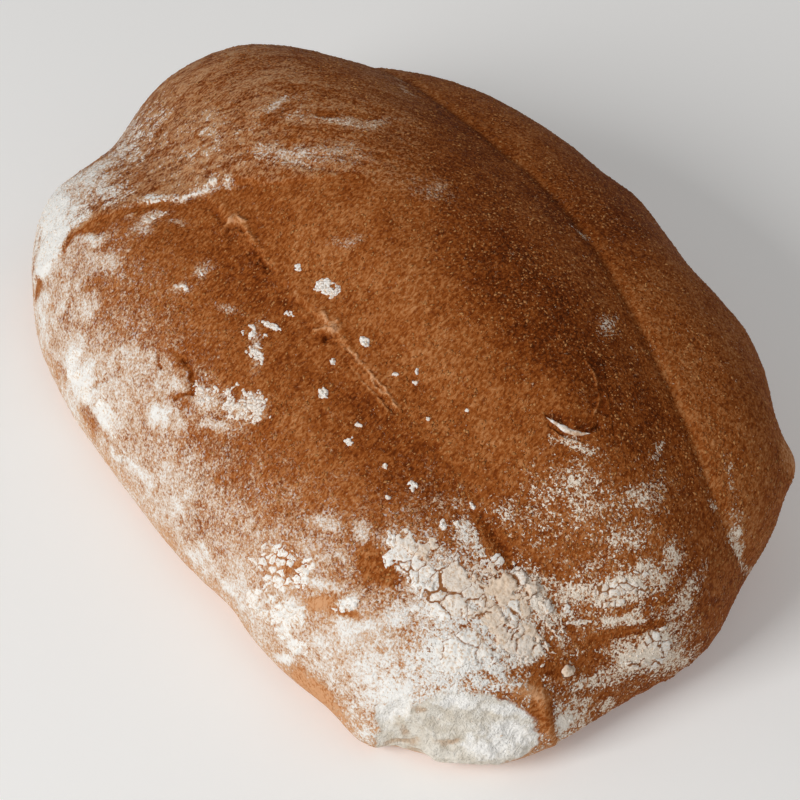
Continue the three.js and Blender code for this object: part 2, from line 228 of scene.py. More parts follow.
# Where flour lies on the crust: ovals in the picture, in pixels, turned clockwise by degrees
dusting = dict(
    edge=(0.1, 1.45),  # an oval's flour fades between these shares of its radius
    halo=0.5,  # and this share of it between the next two
    haloEdge=(0.6, 2.5),
    haloAbove=0.5,  # amount that an oval with a halo passes
    towards=(-0.2, 0.05),  # cosine to the camera
    ragged=7.0, raggedSize=5.0, patchy=0.22, patchySize=2.4,
    # film on the left and grains on the right: pixels across, and a share of the pixels down past a row
    looseFrom=(400, 560), looseDown=0.3, looseRow=450, looseLeast=0.4,
    looseOnSkin=1.2,  # for each share of the far end's film
    creamFrom=(380, 520), creamDown=0.4,
)
flourShown = [
    # wide thin veils
    dict(px=88, py=392, long=115, wide=76, turn=62, amount=0.68),
    dict(px=158, py=492, long=110, wide=76, turn=50, amount=0.58),
    dict(px=262, py=598, long=120, wide=88, turn=42, amount=0.62),
    dict(px=385, py=676, long=140, wide=84, turn=14, amount=0.7),
    dict(px=300, py=552, long=110, wide=48, turn=8, amount=0.48),
    dict(px=44, py=325, long=70, wide=18, turn=84, amount=0.72),
    dict(px=138, py=376, long=54, wide=40, turn=24, amount=0.52, edge=(0.66, 1.0)),
    dict(px=196, py=560, long=40, wide=22, turn=48, amount=0.75),
    dict(px=566, py=724, long=22, wide=15, turn=-30, amount=0.9),
    dict(px=60, py=262, long=85, wide=48, turn=92, amount=0.52),
    dict(px=128, py=140, long=70, wide=34, turn=-55, amount=0.4),
    dict(px=575, py=500, long=85, wide=60, turn=10, amount=0.34),
    dict(px=605, py=590, long=85, wide=48, turn=-14, amount=0.4),
    dict(px=640, py=645, long=85, wide=40, turn=-30, amount=0.42),
    dict(px=530, py=640, long=60, wide=50, turn=50, amount=0.45),
    dict(px=430, py=520, long=70, wide=34, turn=15, amount=0.22),
    dict(px=195, py=145, long=110, wide=45, turn=-12, amount=0.22),
    # far left end
    dict(px=55, py=224, long=52, wide=22, turn=100, amount=1.3),
    dict(px=88, py=182, long=42, wide=13, turn=-32, amount=0.6),
    dict(px=108, py=192, long=42, wide=18, turn=-22, amount=0.5),
    dict(px=43, py=258, long=30, wide=12, turn=98, amount=1.2),
    dict(px=38, py=318, long=32, wide=6, turn=85, amount=0.5),
    dict(px=48, py=287, long=24, wide=4, turn=95, amount=0.6),
    dict(px=57, py=308, long=16, wide=6, turn=100, amount=0.7),
    dict(px=162, py=200, long=30, wide=3.4, turn=-5, amount=0.7),
    dict(px=200, py=191, long=18, wide=4.2, turn=-24, amount=0.7),
    dict(px=215, py=180, long=9, wide=5, turn=-60, amount=0.6),
    dict(px=232, py=177, long=10, wide=8, turn=-40, amount=0.5),
    dict(px=128, py=214, long=10, wide=5, turn=-15, amount=0.7),
    dict(px=155, py=218, long=24, wide=5, turn=-18, amount=0.5),
    dict(px=142, py=229, long=20, wide=11, turn=-20, amount=0.45),
    dict(px=178, py=223, long=12, wide=5, turn=20, amount=0.5),
    dict(px=102, py=262, long=42, wide=20, turn=18, amount=0.58),
    dict(px=92, py=240, long=24, wide=8, turn=-12, amount=0.66),
    dict(px=74, py=288, long=20, wide=13, turn=60, amount=0.62),
    dict(px=84, py=308, long=32, wide=18, turn=95, amount=0.65),
    dict(px=204, py=271, long=10, wide=4, turn=-40, amount=0.6),
    dict(px=183, py=287, long=7, wide=5, turn=-30, amount=0.65),
    dict(px=228, py=308, long=20, wide=7, turn=5, amount=0.4),
    # left side
    dict(px=78, py=347, long=24, wide=16, turn=70, amount=0.75),
    dict(px=80, py=380, long=44, wide=20, turn=70, amount=1.1),
    dict(px=106, py=412, long=30, wide=12, turn=70, amount=0.95),
    dict(px=117, py=452, long=24, wide=7, turn=62, amount=0.82),
    dict(px=142, py=472, long=28, wide=9, turn=52, amount=0.85),
    dict(px=178, py=510, long=22, wide=9, turn=60, amount=0.82),
    dict(px=136, py=347, long=48, wide=13, turn=5, amount=0.4),
    dict(px=138, py=366, long=50, wide=24, turn=12, amount=0.42),
    dict(px=160, py=418, long=34, wide=20, turn=10, amount=0.82),
    dict(px=178, py=386, long=18, wide=17, turn=40, amount=0.75),
    dict(px=156, py=452, long=20, wide=6, turn=95, amount=0.5),
    dict(px=214, py=500, long=60, wide=30, turn=44, amount=0.5),
    dict(px=214, py=424, long=24, wide=10, turn=10, amount=0.66),
    dict(px=72, py=412, long=16, wide=10, turn=65, amount=0.6),
    dict(px=206, py=396, long=24, wide=16, turn=80, amount=0.72),
    dict(px=244, py=406, long=30, wide=24, amount=0.48),
    dict(px=255, py=345, long=30, wide=12, turn=100, amount=0.5),
    # left near side
    dict(px=232, py=597, long=56, wide=10, turn=47, amount=0.78),
    dict(px=262, py=612, long=36, wide=20, turn=38, amount=0.72),
    dict(px=292, py=612, long=22, wide=18, turn=70, amount=0.85),
    dict(px=283, py=632, long=13, wide=11, amount=1),
    dict(px=298, py=648, long=12, wide=11, amount=1),
    dict(px=284, py=572, long=40, wide=30, turn=30, amount=0.58),
    dict(px=335, py=552, long=48, wide=22, turn=20, amount=0.48),
    dict(px=328, py=522, long=32, wide=13, turn=15, amount=0.6),
    dict(px=322, py=584, long=28, wide=10, turn=10, amount=0.8),
    dict(px=366, py=530, long=16, wide=14, turn=60, amount=0.62),
    dict(px=348, py=604, long=18, wide=10, turn=-10, amount=1),
    dict(px=365, py=637, long=58, wide=26, turn=16, amount=0.8),
    dict(px=396, py=618, long=24, wide=16, turn=30, amount=0.86),
    dict(px=326, py=646, long=36, wide=20, turn=34, amount=0.82),
    dict(px=388, py=690, long=62, wide=34, turn=20, amount=0.88),
    dict(px=285, py=662, long=18, wide=9, turn=30, amount=1),
    dict(px=378, py=732, long=40, wide=18, turn=20, amount=0.56),
    dict(px=450, py=682, long=80, wide=15, turn=4, amount=0.76),
    dict(px=248, py=530, long=18, wide=10, turn=-40, amount=0.52),
    dict(px=212, py=540, long=20, wide=10, turn=100, amount=0.5),
    # round the caked plates
    dict(px=388, py=546, long=30, wide=22, turn=50, amount=0.45),
    dict(px=474, py=537, long=34, wide=18, turn=45, amount=0.62),
    dict(px=508, py=510, long=28, wide=14, turn=30, amount=0.38),
    dict(px=452, py=600, long=86, wide=60, turn=40, amount=0.72),
    dict(px=455, py=655, long=46, wide=26, amount=1.15),
    dict(px=540, py=600, long=44, wide=16, turn=50, amount=0.85),
    dict(px=512, py=662, long=38, wide=16, turn=10, amount=0.8),
    dict(px=490, py=668, long=24, wide=10, turn=5, amount=1),
    # near end of the middle lobe
    dict(px=573, py=444, long=26, wide=9, turn=20, amount=0.5),
    dict(px=574, py=484, long=38, wide=36, amount=0.38),
    dict(px=646, py=494, long=38, wide=28, turn=-30, amount=0.42),
    dict(px=655, py=452, long=12, wide=6, turn=90, amount=0.5),
    dict(px=535, py=525, long=50, wide=32, turn=20, amount=0.3),
    dict(px=628, py=536, long=46, wide=32, turn=-30, amount=0.37),
    dict(px=666, py=556, long=20, wide=11, turn=-50, amount=0.54),
    dict(px=646, py=571, long=18, wide=12, turn=-30, amount=0.62),
    dict(px=620, py=586, long=38, wide=14, turn=-12, amount=1),
    dict(px=578, py=594, long=36, wide=14, turn=-5, amount=0.7),
    dict(px=618, py=604, long=36, wide=5, turn=-10, amount=0.7),
    dict(px=622, py=622, long=34, wide=10, turn=-10, amount=0.62),
    dict(px=658, py=642, long=24, wide=14, turn=-40, amount=1),
    dict(px=642, py=660, long=38, wide=17, turn=-10, amount=1),
    dict(px=684, py=600, long=44, wide=15, turn=-60, amount=0.5),
    dict(px=590, py=680, long=50, wide=16, turn=-15, amount=0.42),
    dict(px=604, py=704, long=14, wide=8, turn=-25, amount=0.6),
    dict(px=570, py=710, long=34, wide=10, turn=-25, amount=0.5),
    # right lobe
    dict(px=741, py=545, long=30, wide=4.4, turn=76, amount=0.62),
    dict(px=712, py=502, long=14, wide=5, turn=70, amount=0.42),
    dict(px=733, py=480, long=26, wide=6, turn=76, amount=0.32),
    dict(px=583, py=234, long=13, wide=4, turn=52, amount=0.4),
    # far crown
    dict(px=345, py=120, long=66, wide=6, turn=5, amount=0.5),
    dict(px=282, py=106, long=34, wide=8, turn=-12, amount=0.4),
    dict(px=300, py=155, long=84, wide=18, amount=0.42),
    dict(px=425, py=190, long=34, wide=14, turn=25, amount=0.33),
    dict(px=408, py=86, long=26, wide=4, turn=30, amount=0.32),
    dict(px=345, py=240, long=24, wide=7, turn=-10, amount=0.34),
    dict(px=605, py=325, long=16, wide=10, turn=30, amount=0.36),
]
# crust left bare among the flour
flourBare = [
    dict(px=92, py=420, long=22, wide=8, turn=62, amount=0.36),
    dict(px=58, py=372, long=28, wide=5, turn=70, amount=0.25),
    dict(px=284, py=570, long=32, wide=24, turn=25, amount=0.3),
    dict(px=66, py=248, long=17, wide=5, turn=-55, amount=0.7),
    dict(px=92, py=226, long=26, wide=6, turn=-32, amount=0.6),
    dict(px=135, py=210, long=34, wide=5, turn=-12, amount=0.5),
    dict(px=38, py=290, long=14, wide=5, turn=95, amount=0.7),
    dict(px=376, py=565, long=24, wide=15, turn=40, amount=1),
    dict(px=320, py=604, long=15, wide=7, turn=-10, amount=0.5),
    dict(px=347, py=616, long=16, wide=5, turn=15, amount=0.7),
    dict(px=316, py=690, long=40, wide=9, turn=48, amount=0.5),
    dict(px=497, py=543, long=34, wide=8, turn=55, amount=1),
    dict(px=540, py=668, long=22, wide=9, turn=-5, amount=0.55),
    dict(px=548, py=645, long=22, wide=5, turn=60, amount=0.35),
    dict(px=640, py=629, long=34, wide=5, turn=-12, amount=0.5),
    dict(px=545, py=712, long=32, wide=8, turn=75, amount=0.7),
    dict(px=600, py=640, long=26, wide=7, turn=-10, amount=0.3),
    dict(px=570, py=630, long=12, wide=7, turn=50, amount=0.4),
    dict(px=592, py=662, long=20, wide=9, turn=-15, amount=0.3),
]
# the sides that the picture doesn't show: ovals of degrees round the middle and of height
flourHidden = [
    dict(angle=165, z=22, long=30, wide=12, amount=0.45),
    dict(angle=120, z=12, long=22, wide=8, amount=0.42),
    dict(angle=75, z=14, long=26, wide=7, amount=0.38),
    dict(angle=40, z=12, long=14, wide=7, amount=0.45),
    dict(angle=-165, z=14, long=20, wide=10, amount=0.7),
    dict(angle=-120, z=6, long=40, wide=5, amount=0.6),
]

# How brown the crust is, 0 pale to 1 darkest, with painted shade and light on some flanks, slits and pits:
# ovals in the picture add to a middle brown
browningAndShade = dict(
    middle=0.5, mottle=0.06, mottleSize=14.0, edge=(0.2, 1.4),
    creasePaintedShade=0.1,  # painted shade on the middle lobe beside the right crease
    creaseShadeReach=2.4,
    creasePaintedLight=0.05,  # painted light on the right lobe beside it
    creaseLightReach=4.0,
    seamPaintedShade=0.02,  # painted shade on the left lobe beside the seam
    seamShadeReach=3.0,
    paleFoot=0.62,  # at the left foot, between these heights and these distances left of the middle
    footHeights=(2.0, 12.0), footLeft=(5, 30),
)
brownAndShadeShown = [
    dict(px=515, py=285, long=120, wide=52, turn=52, amount=0.3),
    dict(px=470, py=150, long=100, wide=55, turn=38, amount=0.08),
    # painted shade on the middle lobe's right flank, turned from the lamp
    dict(px=625, py=410, long=120, wide=42, turn=62, amount=0.16),
    dict(px=600, py=215, long=80, wide=45, turn=42, amount=0.2),
    dict(px=250, py=275, long=70, wide=40, turn=46, amount=0.13),
    # painted shade on the left lobe beside the seam
    dict(px=385, py=450, long=110, wide=42, turn=50, amount=0.18),
    dict(px=750, py=520, long=90, wide=45, turn=80, amount=-0.04),
    # painted light on the middle lobe's left flank, which faces the lamp
    dict(px=430, py=340, long=150, wide=36, turn=47, amount=-0.07),
    dict(px=787, py=458, long=24, wide=7, turn=80, amount=-0.3),
    # painted shade in the blister's slit, then in the crevice beside the caked flour
    dict(px=572, py=421, long=32, wide=6, turn=15, amount=0.22),
    dict(px=497, py=543, long=44, wide=9, turn=55, amount=0.1),
    dict(px=545, py=715, long=32, wide=9, turn=75, amount=-0.16),
    dict(px=525, py=690, long=26, wide=10, turn=20, amount=-0.45),
    dict(px=320, py=603, long=18, wide=10, turn=-10, amount=-0.25),
    dict(px=392, py=652, long=96, wide=38, turn=22, amount=-0.26),
    dict(px=318, py=690, long=44, wide=12, turn=48, amount=-0.2),
    dict(px=285, py=592, long=90, wide=44, turn=42, amount=-0.16),
    dict(px=650, py=620, long=80, wide=46, turn=-60, amount=0.12),
    # painted highlight on the seam's pinch and the pale bump, painted shade in the pit and under the bump's
    # lip
    dict(px=236, py=221, long=8, wide=5, turn=-40, amount=-0.12),
    dict(px=330, py=324, long=10, wide=6, turn=-25, amount=-0.12),
    dict(px=261, py=260, long=14, wide=6, turn=45, amount=0.05),
    dict(px=331, py=340, long=9, wide=6, turn=-20, amount=0.08),
    dict(px=385, py=222, long=14, wide=8, amount=0.1),
]

# Folds and slits that the picture shows sharply: lines in pixels, with what each adds in height, roughness,
# brown and flour; the brown added down in grooves, pits and slits is painted shade, and the paleness on the
# seam's ridges and the bump's lip is painted highlight
folds = [
    # the seam's pale band, painted light, and its dark side, painted shade; then its pinch, ridge and pit,
    # with painted highlight on the ridges and painted shade down in the groove and pit
    dict(
        across=[222, 246, 300, 330, 346], down=[208, 238, 300, 326, 346],
        wide=5.5, height=0.12, brown=-0.1,
    ),
    dict(across=[216, 238, 290, 318], down=[214, 246, 306, 336], wide=5, height=-0.12, brown=0.07),
    dict(across=[232, 246, 262, 270], down=[222, 236, 256, 268], wide=6, rough=0.3, brown=-0.08),
    dict(
        across=[226, 229, 235, 241, 245], down=[236, 230, 227, 229, 233],
        wide=1.8, height=-0.4, brown=0.12,
    ),
    dict(
        across=[224, 229, 235, 240, 244], down=[233, 225, 219, 217, 222],
        wide=2.6, height=0.4, brown=-0.24,
    ),
    dict(across=[243, 248, 255, 262], down=[222, 230, 240, 249], wide=3.2, height=0.3, brown=-0.2),
    dict(across=[255, 259, 263, 269], down=[255, 254, 261, 270], wide=4, height=-0.55, brown=0.16),
    dict(across=[262, 268, 273], down=[255, 262, 270], wide=1.5, height=0.2, brown=-0.16),
    dict(across=[284, 288], down=[286, 289], wide=2.6, height=-0.3, brown=0.1),
    dict(across=[296, 308, 320], down=[302, 312, 321], wide=2.6, height=-0.12, brown=0.08),
    # the pale bump and its lip, paler as painted highlight, and its pit, browner as the lip's painted shadow
    dict(across=[318, 330, 342], down=[316, 326, 338], wide=6, rough=0.24, brown=-0.06),
    dict(across=[322, 332, 338], down=[316, 322, 330], wide=4.2, height=0.36, brown=-0.22),
    dict(across=[316, 327, 337], down=[332, 329, 334], wide=2.2, height=0.55, brown=-0.34),
    dict(across=[325, 326, 331, 337], down=[342, 338, 335, 336], wide=2, height=-0.6, brown=0.2),
    dict(across=[331, 337], down=[340, 341], wide=3.6, height=-0.3, brown=0.05),
    # wrinkles and the torn strip of skin below them, with painted shade down in the wrinkles and the dark
    # line
    dict(across=[338, 343], down=[352, 348], wide=1.4, height=-0.2, brown=0.14),
    dict(across=[343, 349], down=[357, 352], wide=1.4, height=-0.22, brown=0.14),
    dict(across=[349, 355], down=[362, 357], wide=1.4, height=-0.22, brown=0.14),
    dict(across=[346, 364, 384, 402], down=[348, 368, 390, 414], wide=6.5, rough=0.34, brown=-0.08),
    dict(across=[350, 362, 385, 397], down=[350, 365, 388, 408], wide=1.7, height=0.3, brown=-0.36),
    dict(across=[351, 363, 376, 390], down=[366, 382, 396, 412], wide=1.5, height=0.26, brown=-0.32),
    dict(across=[372, 378, 388], down=[378, 390, 396], wide=1.5, height=0.24, brown=-0.32),
    dict(across=[347, 372, 395], down=[362, 391, 413], wide=2, height=-0.3, brown=0.12),
    # the blister: the slit over its lip and the gap under it, both browner as painted shade, and the thin
    # edge on its right
    dict(
        across=[547, 560, 574, 590, 600], down=[413, 420, 427, 429, 426],
        wide=2.6, height=-0.36, brown=0.12,
    ),
    dict(across=[549, 556, 566, 578], down=[424, 430, 435, 438], wide=1.6, height=-0.3, brown=0.12),
    dict(across=[552, 560, 570, 582], down=[429, 436, 441, 443], wide=1.3, height=0.2, brown=-0.3),
    dict(
        across=[584, 592, 596, 599, 598, 594], down=[360, 370, 381, 394, 406, 414],
        wide=1.2, height=0.16, brown=-0.4,
    ),
    dict(
        across=[590, 600, 603, 602, 597], down=[362, 378, 394, 408, 418],
        wide=2.4, height=-0.08, brown=0.03,
    ),
    # the left flap's edge and cracks, bared of flour and browner as painted shadow
    dict(
        across=[172, 182, 189, 191, 192], down=[350, 360, 368, 379, 393],
        wide=1.9, height=-0.35, flour=-0.5, brown=0.12,
    ),
    dict(across=[175, 181, 190], down=[398, 394, 393], wide=1.5, height=-0.3, flour=-0.6, brown=0.1),
    dict(across=[157, 159, 160], down=[356, 361, 368], wide=1.3, height=-0.25, flour=-0.5, brown=0.1),
    dict(across=[90, 98, 108, 114], down=[387, 383, 376, 373], wide=3, height=-0.14, flour=-0.28),
    # the crevice beside the caked flour, and cracks in the folded skin, browner as painted shade
    dict(across=[478, 492, 505, 520], down=[518, 533, 552, 574], wide=6, height=-0.4, brown=0.1),
    dict(across=[288, 296, 312], down=[160, 150, 143], wide=2, height=-0.25, brown=0.16),
    dict(across=[306, 325, 343], down=[166, 170, 173], wide=2, height=-0.25, brown=0.16),
    dict(across=[150, 200, 260, 320], down=[140, 122, 116, 122], wide=12, rough=0.18),
    dict(across=[190, 250, 330, 400], down=[165, 150, 148, 165], wide=14, rough=0.2),
]
foldNoise = dict(shift=3.6, shiftSize=1.0, freeFrom=5.0, varies=0.7, variesSize=1.6, ridge=0.8)

# The thin floury skin folded over the far end: its edge in the picture, and how strong its tan film is
skin = dict(
    edgeAcross=[30, 55, 70, 95, 130, 185, 205, 218, 232, 260, 300, 345, 380, 410, 445],
    edgeDown=[285, 262, 238, 220, 205, 200, 192, 184, 182, 182, 181, 178, 186, 196, 205], ragged=3.0,
    raggedSize=2.5, film=0.58,
    filmEdge=(-0.15, 0.35),  # millimetres past the edge
    filmFades=(170, 400),  # pixels across
    filmLeast=0.55, filmEnds=(400, 460), step=0.4, stepEdge=(-0.1, 0.5), stepFades=(250, 400),
    stepReach=60,
    stepFacing=(0, 0.2),  # cosine to the camera
)


def foldMarks(p, px, py, key):
    # each fold's bell times its value, at a place shifted raggedly, less for narrow folds, with uneven
    # strength; a rough fold's ridges are one less twice the size of soft noise
    shifts = [foldNoise["shift"] * cloudNoise(p, foldNoise["shiftSize"], seed) for seed in (91, 95)]
    strength = 1 + foldNoise["varies"] * cloudNoise(p, foldNoise["variesSize"], 97)
    ridges = 1 - 2 * np.abs(softNoise(p, foldNoise["ridge"], 93))
    total = 0
    for fold in folds:
        rough = fold.get("rough", 0) if key == "height" else 0
        if key in fold or rough:
            value = strength * fold.get(key, 0) + rough * ridges
            steady = min(fold["wide"] / foldNoise["freeFrom"], 1)
            share = lineShare(px + steady * shifts[0], py + steady * shifts[1], fold)
            total = total + value * bell(share, 1.0)
    return total


def creaseSides(p):
    # how far past the left crease and past the right one a point is, as differences of lobe distances
    left, middle, right = lobeDistances(p)
    return left - middle, middle - right


def flourAmount(p, normal):
    # the strongest oval at a raggedly shifted place, made patchy, less the bare ovals and the folds
    px, py, facing = seenAt(p, normal)
    gaps = foldMarks(p, px, py, "flour")
    size = dusting["raggedSize"]
    shifts = [dusting["ragged"] * cloudNoise(p, size, seed, layers=4) for seed in (11, 23, 31)]
    px, py = px + shifts[0], py + shifts[1]
    shown = np.zeros(p.shape[:-1])
    for oval, share in zip(flourShown, shownShares(px, py, flourShown)):
        cover = 1 - smooth(share, *oval.get("edge", dusting["edge"]))
        if oval["amount"] > dusting["haloAbove"] and "edge" not in oval:
            cover = np.maximum(cover, dusting["halo"] * (1 - smooth(share, *dusting["haloEdge"])))
        shown = np.maximum(shown, oval["amount"] * cover)
    shown = shown * (1 + dusting["patchy"] * cloudNoise(p, dusting["patchySize"], 41, layers=4))
    for oval, share in zip(flourBare, shownShares(px, py, flourBare)):
        shown = shown - oval["amount"] * (1 - smooth(share, *dusting["edge"]))
    shown = shown + gaps
    angle = np.degrees(np.arctan2(p[..., 1], p[..., 0])) + shifts[2]
    hidden = np.zeros(p.shape[:-1])
    for oval in flourHidden:
        turned = (angle - oval["angle"] + 180) % 360 - 180
        share = ovalShare(turned, p[..., 2] - oval["z"], oval)
        hidden = np.maximum(hidden, oval["amount"] * (1 - smooth(share, *dusting["edge"])))
    towards = smooth(facing, *dusting["towards"])
    return np.clip(shown * towards + hidden * (1 - towards), 0, 1)


def flourLoose(p, normal, film):
    # least where flour lies as a film, one where it lies in loose grains
    px, py, _ = seenAt(p, normal)
    along = px + dusting["looseDown"] * (py - dusting["looseRow"])
    least = dusting["looseLeast"]
    loose = least + (1 - least) * smooth(along, *dusting["looseFrom"])
    return np.maximum(loose, np.minimum(dusting["looseOnSkin"] * film, 1))


def flourCreamy(p, normal):
    # one where the flour is creamy, on the right in the picture
    px, py, _ = seenAt(p, normal)
    return smooth(px - dusting["creamDown"] * (py - dusting["looseRow"]), *dusting["creamFrom"])


def beside(past, reach):
    # e to the minus distance past a crease over the reach, on that side alone
    return np.exp(-np.maximum(past, 0) / reach) * (past > 0)


def crustBrownAndShade(p, normal):
    # the middle brown, mottled, with the ovals and the folds added, painted shade beside the creases and
    # painted light on the right lobe beside its crease, and paler at the left foot
    px, py, _ = seenAt(p, normal)
    brown = browningAndShade["middle"] + browningAndShade["mottle"] * cloudNoise(p, browningAndShade["mottleSize"], 71)
    for oval, share in zip(brownAndShadeShown, shownShares(px, py, brownAndShadeShown)):
        brown = brown + oval["amount"] * (1 - smooth(share, *browningAndShade["edge"]))
    brown = brown + foldMarks(p, px, py, "brown")
    pastSeam, pastRight = creaseSides(p)
    brown = brown + browningAndShade["creasePaintedShade"] * beside(-pastRight, browningAndShade["creaseShadeReach"])
    brown = brown - browningAndShade["creasePaintedLight"] * beside(pastRight, browningAndShade["creaseLightReach"])
    brown = brown + browningAndShade["seamPaintedShade"] * beside(-pastSeam, browningAndShade["seamShadeReach"])
    leftFoot = (1 - smooth(p[..., 2], *browningAndShade["footHeights"])) * smooth(-p[..., 1], *browningAndShade["footLeft"])
    return np.clip(brown - browningAndShade["paleFoot"] * leftFoot, 0, 1)


def pastSkinEdge(p, normal):
    # millimetres beyond the folded skin's ragged edge as the picture shows it
    px, py, _ = seenAt(p, normal)
    edge = np.interp(px, skin["edgeAcross"], skin["edgeDown"])
    return pixel * (edge - py + skin["ragged"] * cloudNoise(p, skin["raggedSize"], 81))


def skinFilm(p, normal):
    # strongest just beyond the edge on the left, weaker to the right
    px, _, _ = seenAt(p, normal)
    fade = 1 - (1 - skin["filmLeast"]) * smooth(px, *skin["filmFades"])
    gone = 1 - smooth(px, *skin["filmEnds"])
    return skin["film"] * fade * gone * smooth(pastSkinEdge(p, normal), *skin["filmEdge"])


# Pale crumb in the torn end: ovals in pixels for its place, its whiter streaks and its brown smudges
crumb = dict(
    areas=[
        dict(px=467, py=732, long=76, wide=46), dict(px=412, py=742, long=40, wide=36),
        dict(px=392, py=715, long=22, wide=16, turn=-40), dict(px=506, py=741, long=38, wide=22, turn=-8),
    ],
    edge=(0.74, 1.06), sinks=(0.3, 1.04),
    shows=(-0.5, -0.2),  # cosine to the camera
    toneEdge=(0.2, 1.6), whiteHigher=0.2, ragged=5.5, raggedSize=3.6, hollow=1.15,
    crags=[dict(size=7.0, height=0.4), dict(size=2.4, height=0.24), dict(size=0.9, height=0.06)],
    white=[
        dict(px=512, py=708, long=34, wide=9, turn=4), dict(px=512, py=736, long=36, wide=15, turn=-6),
        dict(px=494, py=750, long=34, wide=9, turn=-5), dict(px=392, py=704, long=18, wide=26, turn=15),
        dict(px=459, py=700, long=22, wide=10), dict(px=468, py=748, long=8, wide=14, turn=20),
    ],
    brown=[
        dict(px=419, py=709, long=9, wide=5), dict(px=396, py=731, long=6, wide=11, turn=-30),
        dict(px=463, py=758, long=5, wide=5), dict(px=448, py=746, long=18, wide=4, turn=-4),
        dict(px=416, py=757, long=12, wide=5, turn=10), dict(px=396, py=747, long=22, wide=3),
    ],
)


def crumbMarks(p, normal):
    # how torn a point is, with a ragged edge, how deep the hollow, and the tone from -1 brown to 1 white
    px, py, facing = seenAt(p, normal)
    shifts = [crumb["ragged"] * cloudNoise(p, crumb["raggedSize"], seed, layers=4) for seed in (511, 521)]
    px, py = px + shifts[0], py + shifts[1]
    shares = np.min(shownShares(px, py, crumb["areas"]), axis=0)
    shows = smooth(facing, *crumb["shows"])
    torn, deep = ((1 - smooth(shares, *crumb[key])) * shows for key in ("edge", "sinks"))
    white, brown = (
        np.max([1 - smooth(share, *crumb["toneEdge"]) for share in shownShares(px, py, crumb[key])], axis=0)
        for key in ("white", "brown")
    )
    return torn, deep, white - brown


def crustMarks(p, normal):
    # the values that the crust's material and its relief read
    torn, deep, tone = crumbMarks(p, normal)
    film = skinFilm(p, normal)
    return dict(
        flour=flourAmount(p, normal), loose=flourLoose(p, normal, film), cream=flourCreamy(p, normal),
        brown=crustBrownAndShade(p, normal), film=film, torn=torn, deep=deep, tone=tone,
    )


# Relief of the crust
seam = dict(
    depth=0.14, width=0.4, fill=0.4, fillWidth=1.9, wander=0.4, wanderSize=5.0,
    farEnd=(-36, -24), nearEnd=(58, 70),  # millimetres along the roll over which it sets in and fades
)
rightCrease = dict(depth=0.5, width=0.6, heights=(10, 25))
swellings = [
    dict(at=(58.5, 34.75, 21), radius=3.8, height=1.5),
    dict(at=(50.5, 37.25, 23.5), radius=5, height=-0.8),
    dict(at=(38.5, 41.25, 28), radius=6, height=0.6),
    dict(at=(21, 42, 30), radius=7, height=-0.8),
    dict(at=(5, 42.35, 32), radius=5, height=0.7),
    dict(at=(57.5, -40.75, 2.4), radius=5, height=1.4),
    dict(at=(24.5, -44.25, 4), radius=7, height=-1.3),
    dict(at=(-52, -38.25, 6), radius=9, height=-0.9),
    dict(at=(-62, -28.25, 17), radius=7, height=0.9),
]
# wider bumps and pits that the picture shows: the blister, a flap of the left side and the torn end's rim
reliefShown = [
    dict(px=566, py=395, long=26, wide=22, turn=30, height=0.3),
    dict(px=190, py=372, long=24, wide=3.5, turn=75, height=-0.3),
    dict(px=178, py=370, long=26, wide=6, turn=75, height=0.25),
    dict(px=547, py=718, long=28, wide=7, turn=78, height=0.7),
    dict(px=520, py=688, long=28, wide=7, turn=20, height=0.5),
]
bumps = [dict(size=24.0, height=0.3), dict(size=8.0, height=0.12), dict(size=2.2, height=0.04)]
dustRelief = dict(thick=0.1, grain=0.12, grainSize=1.3, flourFrom=(0.35, 0.9))
reliefFacing = (0, 0.15)  # cosine to the camera
reliefHeights = (0.0, 1.0)  # heights over which all relief sets in above the base


def creaseRelief(p):
    # bells across both creases, the seam's filled by a wider one, wandering a little and fading at its ends
    pastSeam, pastRight = creaseSides(p)
    pastSeam = pastSeam + seam["wander"] * cloudNoise(p, seam["wanderSize"], 201)
    ends = smooth(p[..., 0], *seam["farEnd"]) * (1 - smooth(p[..., 0], *seam["nearEnd"]))
    onRight = rightCrease["depth"] * bell(pastRight, rightCrease["width"])
    onRight = onRight * smooth(p[..., 2], *rightCrease["heights"])
    onSeam = seam["fill"] * bell(pastSeam, seam["fillWidth"]) - seam["depth"] * bell(pastSeam, seam["width"])
    return ends * onSeam - onRight


def skinRelief(p, normal):
    # a step up past the skin's edge that sinks back with distance and to the right
    past = pastSkinEdge(p, normal)
    px, _, facing = seenAt(p, normal)
    right = 1 - smooth(px, *skin["stepFades"])
    sinking = np.exp(-np.maximum(past, 0) / (skin["stepReach"] * pixel))
    step = skin["step"] * smooth(past, *skin["stepEdge"])
    return step * sinking * right * smooth(facing, *skin["stepFacing"])


def tornRelief(p, torn, deep, tone):
    # the torn place sinks, with lumps of cloudy noise, whiter ones higher
    height = crumb["whiteHigher"] * tone
    for k, crag in enumerate(crumb["crags"]):
        height = height + crag["height"] * cloudNoise(p, crag["size"], 501 + 10 * k)
    return torn * height - crumb["hollow"] * deep


def swellingRelief(p):
    # a bell for each swelling or dent
    height = 0
    for swelling in swellings:
        away = np.linalg.norm(p - np.array(swelling["at"]), axis=-1)
        height = height + swelling["height"] * bell(away, swelling["radius"])
    return height


def shownRelief(p, normal):
    # a bell over each oval and across each fold in the picture, on the side that shows
    px, py, facing = seenAt(p, normal)
    height = 0
    for mark, share in zip(reliefShown, shownShares(px, py, reliefShown)):
        height = height + mark["height"] * bell(share, 1.0)
    return smooth(facing, *reliefFacing) * (height + foldMarks(p, px, py, "height"))


